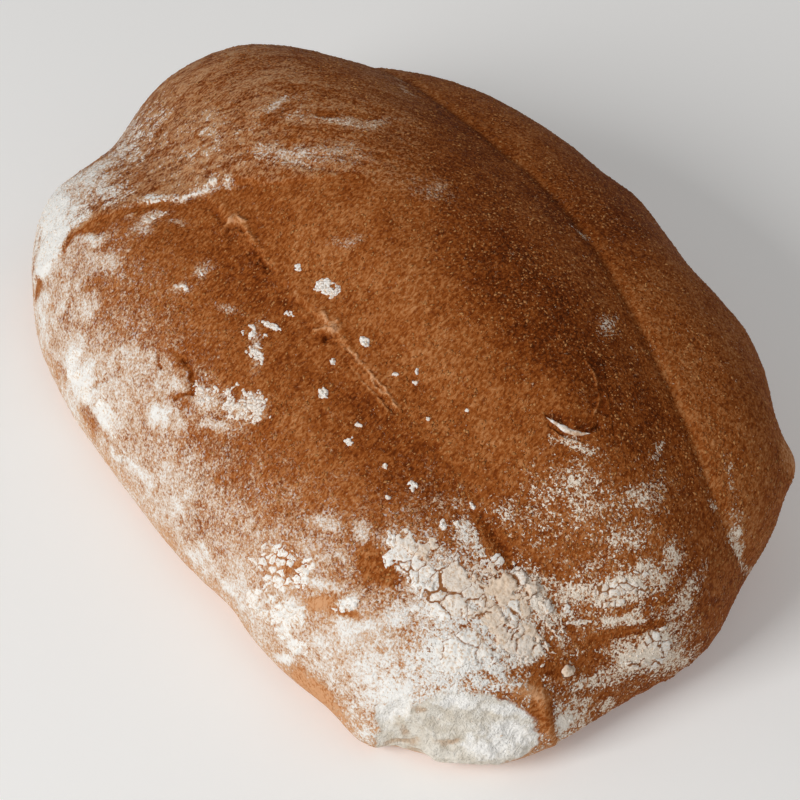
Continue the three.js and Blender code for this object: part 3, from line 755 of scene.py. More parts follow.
def crustRelief(p, normal, marks):
    # all the reliefs, soft bumps of three sizes, and the flour's own thickness
    height = creaseRelief(p) + skinRelief(p, normal) + swellingRelief(p) + shownRelief(p, normal)
    for k, bump in enumerate(bumps):
        height = height + bump["height"] * cloudNoise(p, bump["size"], 301 + 10 * k)
    grain = dustRelief["thick"] + dustRelief["grain"] * cloudNoise(p, dustRelief["grainSize"], 351)
    height = height + smooth(marks["flour"], *dustRelief["flourFrom"]) * (1 - marks["torn"]) * grain
    return height + tornRelief(p, marks["torn"], marks["deep"], marks["tone"])


def crustSurface(p):
    # lifts dough points by the relief along the dough's normal, never below the base
    normal = doughNormal(p)
    marks = crustMarks(p, normal)
    rise = crustRelief(p, normal, marks) * smooth(p[..., 2], *reliefHeights)
    del marks["deep"]  # the material doesn't read it
    lifted = p + rise[..., None] * normal
    lifted[..., 2] = np.maximum(lifted[..., 2], 0)
    return lifted, normal, marks


def meshPiece(name, points, triangles, attributes=None):
    # one object at the origin from arrays of points in millimetres and triangles
    mesh = bpy.data.meshes.new(name)
    mesh.vertices.add(len(points))
    mesh.vertices.foreach_set("co", (points * mm).astype(np.float32).ravel())
    mesh.loops.add(triangles.size)
    mesh.loops.foreach_set("vertex_index", triangles.astype(np.int32).ravel())
    mesh.polygons.add(len(triangles))
    mesh.polygons.foreach_set("loop_start", np.arange(0, triangles.size, 3, dtype=np.int32))
    mesh.polygons.foreach_set("use_smooth", np.ones(len(triangles), dtype=bool))
    for key, values in (attributes or {}).items():
        layer = mesh.attributes.new(key, "FLOAT", "POINT")
        layer.data.foreach_set("value", values.astype(np.float32).ravel())
    mesh.update(calc_edges=True)
    piece = bpy.data.objects.new(name, mesh)
    bpy.context.scene.collection.objects.link(piece)
    print(name, len(triangles), "triangles")
    return piece


def gridTriangles(rows, columns, closed):
    # two triangles for each cell of a grid of rows and columns, the columns closed into rings or open
    row = np.arange(rows - 1)[:, None]
    column = np.arange(columns if closed else columns - 1)[None, :]
    after = (column + 1) % columns
    a, b = row * columns + column, row * columns + after
    c, d = (row + 1) * columns + after, (row + 1) * columns + column
    cells = np.stack([a, b, c, a, c, d], axis=-1)
    return cells.reshape(-1, 3)


def cappedRings(rings, columns):
    # a closed grid's triangles, and a fan over each end to the two points that follow the grid's own
    index = np.arange(columns)
    after = (index + 1) % columns
    last = (rings - 1) * columns
    firstEnd, lastEnd = (np.full(columns, rings * columns + k) for k in (0, 1))
    return np.concatenate([
        gridTriangles(rings, columns, True),
        np.stack([firstEnd, after, index], axis=-1),
        np.stack([lastEnd, last + index, last + after], axis=-1),
    ])


# The crust's grid: rings from the near end to the far end, columns round the length
crustGrid = dict(
    rings=336, columns=292, samples=4000,
    crown=120.0,  # degrees round the length, from the right over the top
    # sectors by the same degrees, with their share of the usual number of columns: base, right side, seam
    sectors=[
        dict(start=206, end=335, share=0.1), dict(start=335, end=380, share=0.7),
        dict(start=135, end=144, share=2.0),
    ],
)


def ringDirection(tilt, turn):
    # from the near end's axis by a tilt, round it by a turn
    return np.stack(
        [np.cos(tilt) + 0 * turn, np.sin(tilt) * np.cos(turn), np.sin(tilt) * np.sin(turn)], axis=-1
    )


def evenSteps(angles, points, weight, count):
    # angles at equal steps of the weighted length along a traced line
    steps = np.linalg.norm(np.diff(points, axis=0), axis=-1) * weight[1:]
    length = np.concatenate([[0], np.cumsum(steps)])
    return np.interp(np.arange(count) / count * length[-1], length, angles)


def crustColumns():
    # turns round the length, close on the seam and wide apart on the base
    turn = np.linspace(0, 2 * np.pi, crustGrid["samples"])
    points = reachSurface(dough["heart"], ringDirection(np.full_like(turn, np.pi / 2), turn))
    degrees = np.degrees(turn)
    weight = np.ones_like(turn)
    for sector in crustGrid["sectors"]:
        within = (degrees - sector["start"]) % 360 < sector["end"] - sector["start"]
        weight = np.where(within, sector["share"], weight)
    return evenSteps(turn, points, weight, crustGrid["columns"])


def crustRings():
    # tilts from the near end to the far end at even steps along the left lobe's crown, poles left out
    tilt = np.linspace(0, np.pi, crustGrid["samples"])
    crown = np.full_like(tilt, np.radians(crustGrid["crown"]))
    points = reachSurface(dough["heart"], ringDirection(tilt, crown))
    return evenSteps(tilt, points, np.ones_like(tilt), crustGrid["rings"] + 1)[1:]


def surfaceFrame(at, along=None):
    # a point on the dough, its normal, and two directions across it: level (or along) and rising
    p = fromHeart(np.array(at, dtype=float))
    normal = doughNormal(p)
    if along is None:
        level = np.cross([0, 0, 1.0], normal)
    else:
        level = np.array(along) - np.dot(along, normal) * normal
    level = level / np.linalg.norm(level)
    return p, normal, level, np.cross(normal, level)


# What the picture shows sharply has a finer grid of its own over the crust: two pixels on its middle line,
# millimetres past them and to each side
fineSkin = dict(
    seam=dict(start=(216, 204), end=(402, 416), past=1.5, half=4.2),
    blister=dict(start=(545, 400), end=(600, 400), past=2.0, half=8.0),
    torn=dict(start=(372, 728), end=(540, 728), past=4.5, half=11.0),
    flap=dict(start=(84, 386), end=(204, 386), past=1.0, half=9.0),
)
fineGrid = dict(
    spacing=0.16, raised=0.03,
    rim=0.6,  # how far the patch sinks along its rim
    rimFrom=0.95,
    lowered=0.5,  # how far the crust gives way under the patch
    loweredIn=(0.7, 0.86), deep=3.0,
)


def finePlace(patch):
    # the patch's frame on the dough and its half length
    start, end = (underPixel(*patch[key]) for key in ("start", "end"))
    return surfaceFrame((start + end) / 2, end - start), np.linalg.norm(end - start) / 2 + patch["past"]


def underFinePatches(p):
    # how far the crust gives way under the fine patches, fading out short of their rims
    depth = np.zeros(p.shape[:-1])
    for patch in fineSkin.values():
        (middle, normal, level, rising), halfLong = finePlace(patch)
        offset = p - middle
        share = np.maximum(np.abs(offset @ level) / halfLong, np.abs(offset @ rising) / patch["half"])
        near = (offset @ normal > -patch["half"]) * (1 - smooth(share, *fineGrid["loweredIn"]))
        depth = np.maximum(depth, fineGrid["lowered"] * near)
    return depth


def makeCrust():
    # rays from the heart meet the dough on a grid of rings and columns, and the relief lifts it
    tilt, turn = np.meshgrid(crustRings(), crustColumns(), indexing="ij")
    directions = ringDirection(tilt, turn).reshape(-1, 3)
    directions = np.concatenate([directions, [[1.0, 0, 0], [-1.0, 0, 0]]])
    onDough = reachSurface(dough["heart"], directions)
    points, normal, marks = crustSurface(onDough)
    points = points - underFinePatches(onDough)[:, None] * normal
    points[:, 2] = np.maximum(points[:, 2], 0)
    return meshPiece("crust", points, cappedRings(*tilt.shape)[:, ::-1], marks)


def flatGrid(halfLong, halfWide, spacing):
    # two parameters on an even grid about nothing
    u = np.linspace(-halfLong, halfLong, int(2 * halfLong / spacing) + 1)
    v = np.linspace(-halfWide, halfWide, int(2 * halfWide / spacing) + 1)
    return np.meshgrid(u, v, indexing="ij")


def patchGrid(at, halfLong, halfWide, spacing, along=None):
    # a flat grid touching the dough, dropped onto the crust by rays to the heart
    middle, _, level, rising = surfaceFrame(at, along)
    u, v = flatGrid(halfLong, halfWide, spacing)
    target = middle + u[..., None] * level + v[..., None] * rising
    points, normal, marks = crustSurface(fromHeart(target.reshape(-1, 3)))
    return u, v, points, normal, marks


def closedPatch(shape, points, normal, depth, attributes):
    # the patch's grid, closed below by a fan to one point deep in the dough
    rows, columns = shape
    index = np.arange(rows * columns).reshape(shape)
    rim = np.concatenate([index[:-1, 0], index[-1, :-1], index[:0:-1, -1], index[0, :0:-1]])
    middle = index[rows // 2, columns // 2]
    deep = points[middle] - depth * normal[middle]
    fan = np.stack([np.full(len(rim), rows * columns), np.roll(rim, -1), rim], axis=-1)
    triangles = np.concatenate([gridTriangles(rows, columns, False)[:, ::-1], fan])
    closed = {key: np.append(values.ravel(), values.ravel()[middle]) for key, values in attributes.items()}
    return np.vstack([points, deep]), triangles, closed


def finePatch(patch):
    # the crust's own surface on a finer grid, sunk along its rim
    (middle, _, level, rising), halfLong = finePlace(patch)
    u, v, points, normal, marks = patchGrid(middle, halfLong, patch["half"], fineGrid["spacing"], level)
    share = np.maximum(np.abs(u) / halfLong, np.abs(v) / patch["half"]).ravel()
    height = fineGrid["raised"] - fineGrid["rim"] * smooth(share, fineGrid["rimFrom"], 1.0)
    lifted = points + height[:, None] * normal
    lifted[:, 2] = np.maximum(lifted[:, 2], 0)
    return closedPatch(u.shape, lifted, normal, fineGrid["deep"], marks)


def joinedPiece(name, parts):
    # several bodies' arrays put one after the other into one mesh
    starts = np.cumsum([0] + [len(points) for points, _, _ in parts])
    points = np.concatenate([points for points, _, _ in parts])
    triangles = np.concatenate([triangles + start for (_, triangles, _), start in zip(parts, starts)])
    attributes = {key: np.concatenate([a[key] for _, _, a in parts]) for key in parts[0][2]}
    return meshPiece(name, points, triangles, attributes)


def cellBorders(place, middles, radii):
    # each place's own cell, by squared distance less squared radius, and how far it is from the next cell
    away = np.sum((place[:, None, :] - middles) ** 2, axis=-1) - radii**2
    own = np.argmin(away, axis=1)
    rows = np.arange(len(place))
    middle = np.broadcast_to(middles, (len(place),) + middles.shape[1:])[rows, own]
    span = np.linalg.norm(middles - middle[:, None, :], axis=-1)
    border = (away - away[rows, own][:, None]) / (2 * np.where(span > 0, span, 1))
    return own, middle, np.min(np.where(span > 0, border, np.inf), axis=1)


def latticeMiddles(place, cell, seed):
    # the middles of the five by five lattice cells round each place, each moved by a seeded draw
    corner = np.floor(place / cell)[:, None, :] + (np.array(list(np.ndindex(5, 5))) - 2)
    index = np.concatenate([corner, 0 * corner[..., :1]], axis=-1).astype(np.int64)
    moved = np.stack([latticeDraw(index, seed + k) for k in (0, 1)], axis=-1)
    return (corner + 0.5 + flourForm["jitter"] * (2 * moved - 1)) * cell


def cellDraw(middle, seed):
    # a seeded draw for each cell, by its middle in eighths of a pixel
    return latticeDraw(np.round(middle[:, [0, 1, 1]] * 8).astype(np.int64), seed)


def latticeCells(place, cell, seed):
    # a seeded draw for each place's own lattice cell, and the distance to its border
    _, middle, border = cellBorders(place, latticeMiddles(place, cell, seed), 0)
    return cellDraw(middle, seed + 3), border


# Flour caked into plates and crumbs: places, radii and cells in pixels, thicknesses in millimetres
nearPlates = dict(
    spacing=0.15, warp=2.4, warpSize=1.2, cell=10, kept=0.9, crack=0.2, crackVaries=0.2, roundEdge=0.2,
    thick=0.3, uneven=0.6, tone=0.2, toneVaries=0.3, deep=5, frayed=0.5, floor=0.06,
)
cakedFlour = dict(
    plates=dict(
        px=474, py=602, halfLong=22, halfWide=17, spacing=0.185, warp=3, warpSize=1.1,
        crack=0, crackVaries=0.26, roundEdge=0.26, thick=0.32, uneven=0.55, deep=6, frayed=0.36,
        edgeCell=4.6, edgeKept=0.62, edgeFrom=(0.5, 0.76), floor=0.05, fineCrack=9, rough=0.11,
        cracks=[
            dict(across=[426, 437, 445, 450, 456], down=[596, 603, 609, 617, 625], wide=1.3),
            dict(across=[456, 468, 480, 490], down=[625, 620, 616, 611], wide=1.5),
            dict(across=[424, 434, 446, 458, 466], down=[594, 591, 590, 592, 598], wide=1.1),
            dict(across=[424, 432, 442], down=[562, 561, 563], wide=1.9),
            dict(across=[441, 442, 443], down=[573, 582, 591], wide=1.7),
            dict(across=[411, 409, 414, 424], down=[580, 592, 600, 606], wide=1.6),
            dict(across=[461, 460], down=[609, 619], wide=1),
            dict(across=[466, 472, 482, 488], down=[603, 598, 596, 604], wide=1),
            dict(across=[452, 464, 476, 480], down=[630, 629, 627, 635], wide=1),
            dict(across=[510, 519, 516, 512], down=[609, 619, 630, 640], wide=1.1),
            dict(across=[524, 533, 542, 542], down=[622, 619, 620, 632], wide=1.2),
            dict(across=[505, 513, 522, 532, 545], down=[566, 576, 588, 602, 616], wide=1.7),
            dict(across=[490, 493, 510, 526], down=[640, 650, 655, 661], wide=1.8),
            dict(across=[400, 408, 412], down=[566, 572, 580], wide=1.4),
        ],
        areas=[
            dict(px=411, py=555, long=34, wide=26, turn=35), dict(px=450, py=590, long=58, wide=42, turn=30),
            dict(px=500, py=600, long=48, wide=46, turn=40), dict(px=462, py=650, long=36, wide=26),
            dict(px=532, py=590, long=36, wide=9, turn=48), dict(px=516, py=638, long=30, wide=22, turn=20),
            dict(px=570, py=672, long=10, wide=9), dict(px=566, py=608, long=14, wide=8),
        ],
        plates=[
            dict(px=429, py=549, r=13, tone=0.75), dict(px=410, py=544, r=10, tone=0.35),
            dict(px=402, py=556, r=9, tone=0.1), dict(px=390, py=560, r=9),
            dict(px=385, py=545, r=8), dict(px=405, py=568, r=8),
            dict(px=418, py=566, r=6, tone=0.1), dict(px=412, py=577, r=9),
            dict(px=426, py=577, r=8, tone=0.1), dict(px=403, py=590, r=6),
            dict(px=416, py=590, r=9), dict(px=433, py=583, r=9, tone=0.1),
            dict(px=441, py=562, r=6, tone=0.3), dict(px=455, py=579, r=16, tone=0.55),
            dict(px=470, py=593, r=10, tone=0.5), dict(px=483, py=572, r=14, tone=0.65),
            dict(px=466, py=562, r=9, tone=0.3), dict(px=493, py=554, r=8, tone=0.1, high=1.3),
            dict(px=505, py=563, r=7, tone=0.3), dict(px=502, py=589, r=16, tone=0.95),
            dict(px=455, py=605, r=15, tone=0.45), dict(px=471, py=606, r=9, tone=0.5),
            dict(px=440, py=597, r=7, tone=0.2), dict(px=437, py=616, r=14, tone=0.08),
            dict(px=447, py=632, r=7, tone=0.05), dict(px=457, py=626, r=6, tone=0.3),
            dict(px=470, py=622, r=8, tone=0.5), dict(px=482, py=626, r=9, tone=0.65),
            dict(px=495, py=619, r=9, tone=0.85), dict(px=490, py=636, r=9, tone=0.8),
            dict(px=503, py=634, r=7, tone=0.75), dict(px=513, py=612, r=8, tone=0.3),
            dict(px=527, py=611, r=10, tone=0.85), dict(px=531, py=629, r=9, tone=0.85),
            dict(px=515, py=630, r=7, tone=0.6), dict(px=458, py=657, r=20),
            dict(px=440, py=650, r=12), dict(px=466, py=640, r=11, tone=0.1),
            dict(px=489, py=656, r=12, tone=0.15), dict(px=478, py=672, r=8, tone=0.2),
            dict(px=512, py=645, r=8, tone=0.55), dict(px=526, py=645, r=10, tone=0.5),
            dict(px=541, py=651, r=9, tone=0.4), dict(px=541, py=636, r=6, tone=0.7),
            dict(px=514, py=566, r=6, tone=0.35, high=2), dict(px=522, py=576, r=7, tone=0.4, high=2.4),
            dict(px=533, py=586, r=8, tone=0.8, high=2.4), dict(px=541, py=597, r=8, tone=0.5, high=2.6),
            dict(px=549, py=607, r=7, tone=0.35, high=2.2), dict(px=556, py=615, r=5, tone=0.3, high=1.8),
            dict(px=559, py=604, r=6, tone=0.6, high=1.2), dict(px=568, py=606, r=7, tone=0.25),
            dict(px=575, py=613, r=6, tone=0.25), dict(px=570, py=672, r=9, tone=0.95, high=2.6),
            dict(px=548, py=672, r=9, tone=0.5), dict(px=590, py=672, r=9, tone=0.5),
            dict(px=570, py=694, r=9, tone=0.5), dict(px=570, py=650, r=9, tone=0.5),
        ],
    ),
    chips=dict(
        px=288, py=592, halfLong=13, halfWide=10, spacing=0.165, warp=2, warpSize=0.9,
        cell=8.6, kept=0.9, crack=-0.02, crackVaries=0.36, roundEdge=0.26, thick=0.4, uneven=0.7,
        tone=0, toneVaries=0.1, deep=5, frayed=0.3,
        areas=[
            dict(px=284, py=568, long=34, wide=26, turn=20), dict(px=268, py=606, long=30, wide=16, turn=38),
            dict(px=292, py=612, long=17, wide=19, turn=70), dict(px=284, py=632, long=12, wide=10),
            dict(px=299, py=648, long=11, wide=10), dict(px=348, py=605, long=17, wide=9, turn=-10),
        ],
    ),
    leftFlakes=dict(
        px=95, py=400, halfLong=11, halfWide=7, spacing=0.16, warp=2.6, warpSize=1.1,
        cell=9, kept=0.6, crack=0, crackVaries=0.3, roundEdge=0.3, thick=0.16, uneven=0.7,
        tone=0.05, toneVaries=0.12, deep=5, frayed=0.5,
        areas=[
            dict(px=80, py=375, long=30, wide=13, turn=68), dict(px=104, py=412, long=26, wide=9, turn=68),
            dict(px=130, py=462, long=26, wide=8, turn=52), dict(px=116, py=440, long=18, wide=6, turn=62),
        ],
    ),
    nearCrust=dict(
        nearPlates, px=624, py=584, halfLong=8.5, halfWide=5,
        areas=[
            dict(px=622, py=588, long=28, wide=9, turn=-10), dict(px=646, py=571, long=13, wide=9, turn=-40),
            dict(px=614, py=603, long=16, wide=3.5, turn=-10),
        ],
    ),
    nearFoot=dict(
        nearPlates, px=652, py=652, halfLong=8, halfWide=6,
        areas=[
            dict(px=656, py=640, long=16, wide=10, turn=-35), dict(px=640, py=662, long=24, wide=8, turn=5),
            dict(px=664, py=650, long=10, wide=7, turn=-20),
        ],
    ),
)


# How a patch of flour breaks up: sizes in millimetres, areas by shares of their radius
flourForm = dict(
    turnReach=4,  # pixels from the middle to the point that gives the patch's direction
    jitter=0.48,  # share of a lattice cell
    frayedSize=1.6, crackSize=3.0, crackFrom=-0.02,
    lineEdge=(0.5, 1.5),  # shares of a drawn crack's width
    fineEdge=(0.02, 0.2), fineDepth=0.6, brokenSize=2.6, brokenFrom=(-0.3, 0.4), looseRagged=0.3,
    looseSize=2.2, crumbEdge=(0.0, 0.25), thinner=0.7, thinnerFrom=(0.35, 1.0), lean=0.02,
    leanWay=np.array([0.6, -0.8]),
    leanReach=8,  # pixels
    leanTurn=40, rough=0.08, grainSize=1.0, fineGrain=0.8, fineGrainSize=0.4,
    floor=-0.3,  # height of the cracks' floor over the crust
    sinks=1.0, sinksFrom=(0.78, 1.1),
    missing=0.7,  # how far a cell that isn't kept lies below
    toneVaries=0.15, toneSize=4.0,
)


def plateValues(plates, key, usual=0.0):
    return np.array([plate.get(key, usual) for plate in plates], dtype=float)


def patchCells(patch, place, seed):
    # each place's cell, of drawn plates or of a lattice: its middle, border, height, tone and if it is kept
    if "plates" in patch:
        plates = patch["plates"]
        middles = np.stack([plateValues(plates, "px"), plateValues(plates, "py")], axis=-1)[None]
        own, middle, border = cellBorders(place, middles, plateValues(plates, "r"))
        high, tone = plateValues(plates, "high", 1.0)[own], plateValues(plates, "tone")[own]
        return middle, border, high, tone, np.ones(len(own))
    _, middle, border = cellBorders(place, latticeMiddles(place, patch["cell"], seed), 0)
    tone = patch["tone"] + patch["toneVaries"] * cellDraw(middle, seed + 2)
    kept = (cellDraw(middle, seed + 3) < patch["kept"]).astype(float)
    return middle, border, 1.0, tone, kept


def flourPatch(patch, seed):
    # cells that fall off into cracks halfway to the next cell, thinner towards the areas' ragged edge
    form = flourForm
    at = underPixel(patch["px"], patch["py"])
    along = None
    if "turn" in patch:
        turn, reach = np.radians(patch["turn"]), form["turnReach"]
        along = underPixel(patch["px"] + reach * np.cos(turn), patch["py"] + reach * np.sin(turn)) - at
    u, _, points, normal, _ = patchGrid(at, patch["halfLong"], patch["halfWide"], patch["spacing"], along)
    px, py, _ = seenAt(points, normal)
    shift = np.stack([cloudNoise(points, patch["warpSize"], seed + k) for k in (1, 5)], axis=-1)
    place = np.stack([px, py], axis=-1) + patch["warp"] * shift
    middle, border, high, tone, kept = patchCells(patch, place, seed)
    draw = cellDraw(middle, seed + 4)
    share = np.min(shownShares(place[:, 0], place[:, 1], patch["areas"]), axis=0)
    share = share + patch["frayed"] * cloudNoise(points, form["frayedSize"], seed + 11, layers=4)
    crack = patch["crack"] + patch["crackVaries"] * cloudNoise(points, form["crackSize"], seed + 17)
    body = smooth(border * pixel - crack / 2, form["crackFrom"], patch["roundEdge"])
    for line in patch.get("cracks", []):
        body = body * smooth(lineShare(place[:, 0], place[:, 1], line), *form["lineEdge"])
    if "fineCrack" in patch:
        _, fineBorder = latticeCells(place, patch["fineCrack"], seed + 51)
        broken = smooth(cloudNoise(points, form["brokenSize"], seed + 53), *form["brokenFrom"])
        gap = 1 - smooth(fineBorder * pixel, *form["fineEdge"])
        body = body * (1 - form["fineDepth"] * broken * gap)
    if "edgeCell" in patch:
        crumbs, crumbBorder = latticeCells(place, patch["edgeCell"], seed + 37)
        ragged = form["looseRagged"] * cloudNoise(points, form["looseSize"], seed + 41)
        loose = smooth(share + ragged, *patch["edgeFrom"])
        body = body * (1 - loose) + loose * smooth(crumbBorder * pixel, *form["crumbEdge"])
        kept = np.where((loose > 0.5) & (crumbs > patch["edgeKept"]), 0, kept)
    thick = patch["thick"] * high * (1 - patch["uneven"] * draw)
    thick = thick * (1 - form["thinner"] * smooth(share, *form["thinnerFrom"]))
    lean = np.clip((place - middle) @ form["leanWay"], -form["leanReach"], form["leanReach"])
    lean = form["lean"] * lean * np.cos(form["leanTurn"] * draw)
    grain = cloudNoise(points, form["grainSize"], seed + 23)
    grain = grain + form["fineGrain"] * softNoise(points, form["fineGrainSize"], seed + 29)
    grain = patch.get("rough", form["rough"]) * grain
    floor = patch.get("floor", form["floor"])
    height = floor + body * (thick + grain + lean - floor)
    height = height - form["sinks"] * smooth(share, *form["sinksFrom"]) - form["missing"] * (1 - kept)
    lifted = points + height[:, None] * normal
    tone = np.clip(tone + form["toneVaries"] * cloudNoise(points, form["toneSize"], seed + 31), 0, 1)
    return closedPatch(u.shape, lifted, normal, patch["deep"], dict(tone=tone, sunk=1 - body))


# Small heaps and clots of flour: ovals in pixels, of crumbs a few pixels wide
heaps = dict(
    usual=dict(turn=0, crumb=4.0, crack=-0.22, kept=1.0, tone=0.0), thick=0.42,
    margin=1.35,  # a patch is larger than its oval by this and by a rim in millimetres
    rim=0.4,
    patch=dict(
        spacing=0.1, warp=1.4, warpSize=0.5, crackVaries=0.14, roundEdge=0.3, uneven=0.6, toneVaries=0.2,
        deep=2.0, frayed=0.34, floor=-0.04, rough=0.13,
    ),
)
heapRows = [
    dict(px=327, py=287, long=14, wide=9.5, turn=24, kept=0.94, high=1.2, crumb=3.6, crack=-0.16),
    dict(px=298, py=267, long=5, wide=6, kept=0.9, high=1.1),
    dict(px=271, py=325, long=12, wide=4, turn=24, high=1.2),
    dict(px=250, py=332, long=8, wide=9, kept=0.5, high=0.8),
    dict(px=256, py=353, long=14, wide=10, turn=60, kept=0.84, high=0.8, crumb=3.6, crack=-0.18),
    dict(px=266, py=336, long=5, wide=5, kept=0.7, high=0.8),
    dict(px=290, py=313, long=8, wide=4, turn=25, kept=0.7, high=0.7),
    dict(px=365, py=342, long=5.5, wide=4.5, turn=40, high=1.6),
    dict(px=323, py=393, long=5.5, wide=5.5, high=1.8),
    dict(px=396, py=374, long=4, wide=3, high=1.2),
    dict(px=333, py=362, long=4, wide=3.4, turn=30, kept=0.9, high=0.9),
    dict(px=348, py=439, long=7, wide=9, turn=-20, kept=0.75, high=0.9, crumb=3.4, crack=-0.14),
    dict(px=359, py=425, long=5, wide=2.6, turn=20, kept=0.9, high=0.8),
    dict(px=417, py=372, long=2.8, wide=2.6, high=1),
    dict(px=416, py=383, long=3, wide=2.2, high=0.8),
    dict(px=428, py=419, long=2.2, wide=3, high=1),
    dict(px=388, py=498, long=4, wide=3.4, high=1.2),
    dict(px=443, py=525, long=4, wide=6, high=1.3),
    dict(px=473, py=506, long=6, wide=3.6, turn=40, high=1.3),
    dict(px=456, py=523, long=3, wide=3, high=1.2),
    # two broad heaps, beige all over as painted shade among their crumbs
    dict(
        px=245, py=405, long=27, wide=21, kept=0.74, high=0.95, crumb=4.6, crack=-0.02, tone=0.25,
    ),
    dict(
        px=206, py=390, long=14, wide=17, kept=0.76, high=0.95, crumb=4.6, crack=-0.02, tone=0.2,
    ),
    dict(px=204, py=271, long=8, wide=4, turn=-40, kept=0.55, high=0.6),
    dict(px=183, py=287, long=5, wide=4, kept=0.7, high=0.7),
    dict(px=467, py=410, long=2.6, wide=2.2, high=0.9),
    dict(px=385, py=466, long=4, wide=4, kept=0.7, high=0.7),
    dict(px=412, py=486, long=6, wide=5, turn=20, kept=0.7, high=0.8),
    # beads along the folded skin's edge
    dict(px=158, py=201, long=20, wide=2.6, turn=-4, kept=0.75, high=0.7, crumb=3.2, tone=0.2),
    dict(px=192, py=195, long=18, wide=3, turn=-20, kept=0.75, high=0.7, crumb=3.2, tone=0.2),
    dict(px=212, py=184, long=8, wide=4, turn=-50, kept=0.7, high=0.7, crumb=3.2, tone=0.2),
    dict(px=152, py=219, long=22, wide=4, turn=-18, kept=0.45, high=0.6, crumb=3, tone=0.3),
    # strands beside the caked plates
    dict(px=551, py=626, long=24, wide=4.4, turn=52, kept=0.65, high=0.8, crumb=4.5, tone=0.5),
    dict(px=564, py=630, long=20, wide=3.2, turn=54, kept=0.55, high=0.7, crumb=4, tone=0.4),
    dict(px=545, py=644, long=20, wide=4, turn=46, kept=0.85, high=0.8, crumb=4.5, tone=0.5),
    dict(px=578, py=622, long=16, wide=3.4, turn=-6, kept=0.7, high=0.6, crumb=4, tone=0.3),
    dict(px=530, py=660, long=16, wide=4, turn=20, kept=0.75, high=0.7, crumb=4.5, tone=0.4),
]


def heapPatch(row, seed):
    # one small patch of crumbs over an oval, turned with it and a little larger
    row = dict(heaps["usual"], **row)
    halfLong, halfWide = (heaps["margin"] * pixel * row[key] + heaps["rim"] for key in ("long", "wide"))
    patch = dict(
        heaps["patch"], px=row["px"], py=row["py"], turn=row["turn"], halfLong=halfLong, halfWide=halfWide,
        cell=row["crumb"], crack=row["crack"], kept=row["kept"], tone=row["tone"],
        thick=heaps["thick"] * row["high"], areas=[row],
    )
    return flourPatch(patch, seed)


# The burst blister's pale lip: its middle line in pixels, a lens across
blisterLip = dict(
    across=[546, 553, 560, 567, 574, 582, 592], down=[417, 421.5, 426, 430, 432.5, 433.5, 433], wide=0.4,
    high=0.26, steps=70, round=12,
    tip=0.01,  # share of the length left off the taper at each end
    taper=0.8, varies=0.3, variesSize=1.2, rough=0.12, roughSize=0.5, toneSize=0.8, toneFrom=(-0.2, 0.9),
)


def makeBlisterLip():
    # an oval section carried along the line, its size the sine of the way along, roughened
    lip = blisterLip
    t = np.linspace(0, 1, lip["steps"])
    knots = np.linspace(0, 1, len(lip["across"]))
    line = underPixel(np.interp(t, knots, lip["across"]), np.interp(t, knots, lip["down"]))
    points, normal, _ = crustSurface(line)
    side = unit(np.cross(normal, np.gradient(points, axis=0)))
    size = np.sin(np.pi * np.clip(t, lip["tip"], 1 - lip["tip"])) ** lip["taper"]
    size = size * (1 + lip["varies"] * cloudNoise(points, lip["variesSize"], 531))
    turn = np.linspace(0, 2 * np.pi, lip["round"], endpoint=False)
    across = np.cos(turn)[None, :, None] * side[:, None, :] * lip["wide"]
    upward = np.sin(turn)[None, :, None] * normal[:, None, :] * lip["high"]
    rings = points[:, None, :] + size[:, None, None] * (across + upward)
    rings = rings + lip["rough"] * cloudNoise(rings, lip["roughSize"], 541)[..., None] * normal[:, None, :]
    points = np.vstack([rings.reshape(-1, 3), points[[0, -1]]])
    tones = smooth(cloudNoise(points, lip["toneSize"], 551), *lip["toneFrom"])
    return meshPiece("blisterLip", points, cappedRings(*rings.shape[:2]), dict(tone=tones))


# Loose flour grains, and tan flecks baked onto the bare crust
grains = dict(
    seed=6, count=6400, size=(0.06, 0.26), flat=(1.0, 0.7, 0.6), lead=np.array([1.0, 0.3, 0.2]),
    thickFrom=(0.28, 0.8), fewerOnCrumb=0.8, thinTone=0.5, thinFrom=(0.3, 0.9),
)
flecks = dict(
    seed=8, count=22000, size=(0.13, 0.42), flat=(1.0, 0.6, 0.26), bareFrom=(0.18, 0.5),
    brownFrom=(0.28, 0.46), cluster=5.0, clusterFrom=(-0.5, 0.5), least=0.22, onFilm=0.5,
    slantVaries=0.6, tonePower=1.3,
)
strewing = dict(
    above=1.5,  # no grain lies lower
    moved=0.7,
    sizePower=2.2,  # the higher, the fewer large ones
    stretch=(0.8, 0.4),  # least, and how much a draw adds
    rough=0.22,
    roughSize=1.1,  # of the grain's own length
)


def icosahedron():
    # twelve corners on three golden rectangles, and the twenty triangles over them
    golden = (1 + 5**0.5) / 2
    short, long = np.array([1.0, -1.0]), np.array([golden, -golden])
    a, b = np.meshgrid(short, long, indexing="ij")
    flat = np.stack([a.ravel(), b.ravel(), np.zeros(4)], axis=-1)
    corners = np.concatenate([flat, np.roll(flat, 1, axis=1), np.roll(flat, 2, axis=1)])
    corners = corners / np.linalg.norm(corners[0])
    distance = np.linalg.norm(corners[:, None] - corners[None], axis=-1)
    edge = np.min(distance[distance > 0]) * 1.01  # a little over, for rounding
    near = (distance > 0) & (distance < edge)
    i, j, k = np.nonzero(near[:, :, None] & near[:, None, :] & near[None])
    keep = (i < j) & (j < k)
    triangles = np.stack([i, j, k], axis=-1)[keep]
    facing = np.linalg.det(corners[triangles])
    triangles[facing < 0] = triangles[facing < 0][:, ::-1]
    return corners, triangles


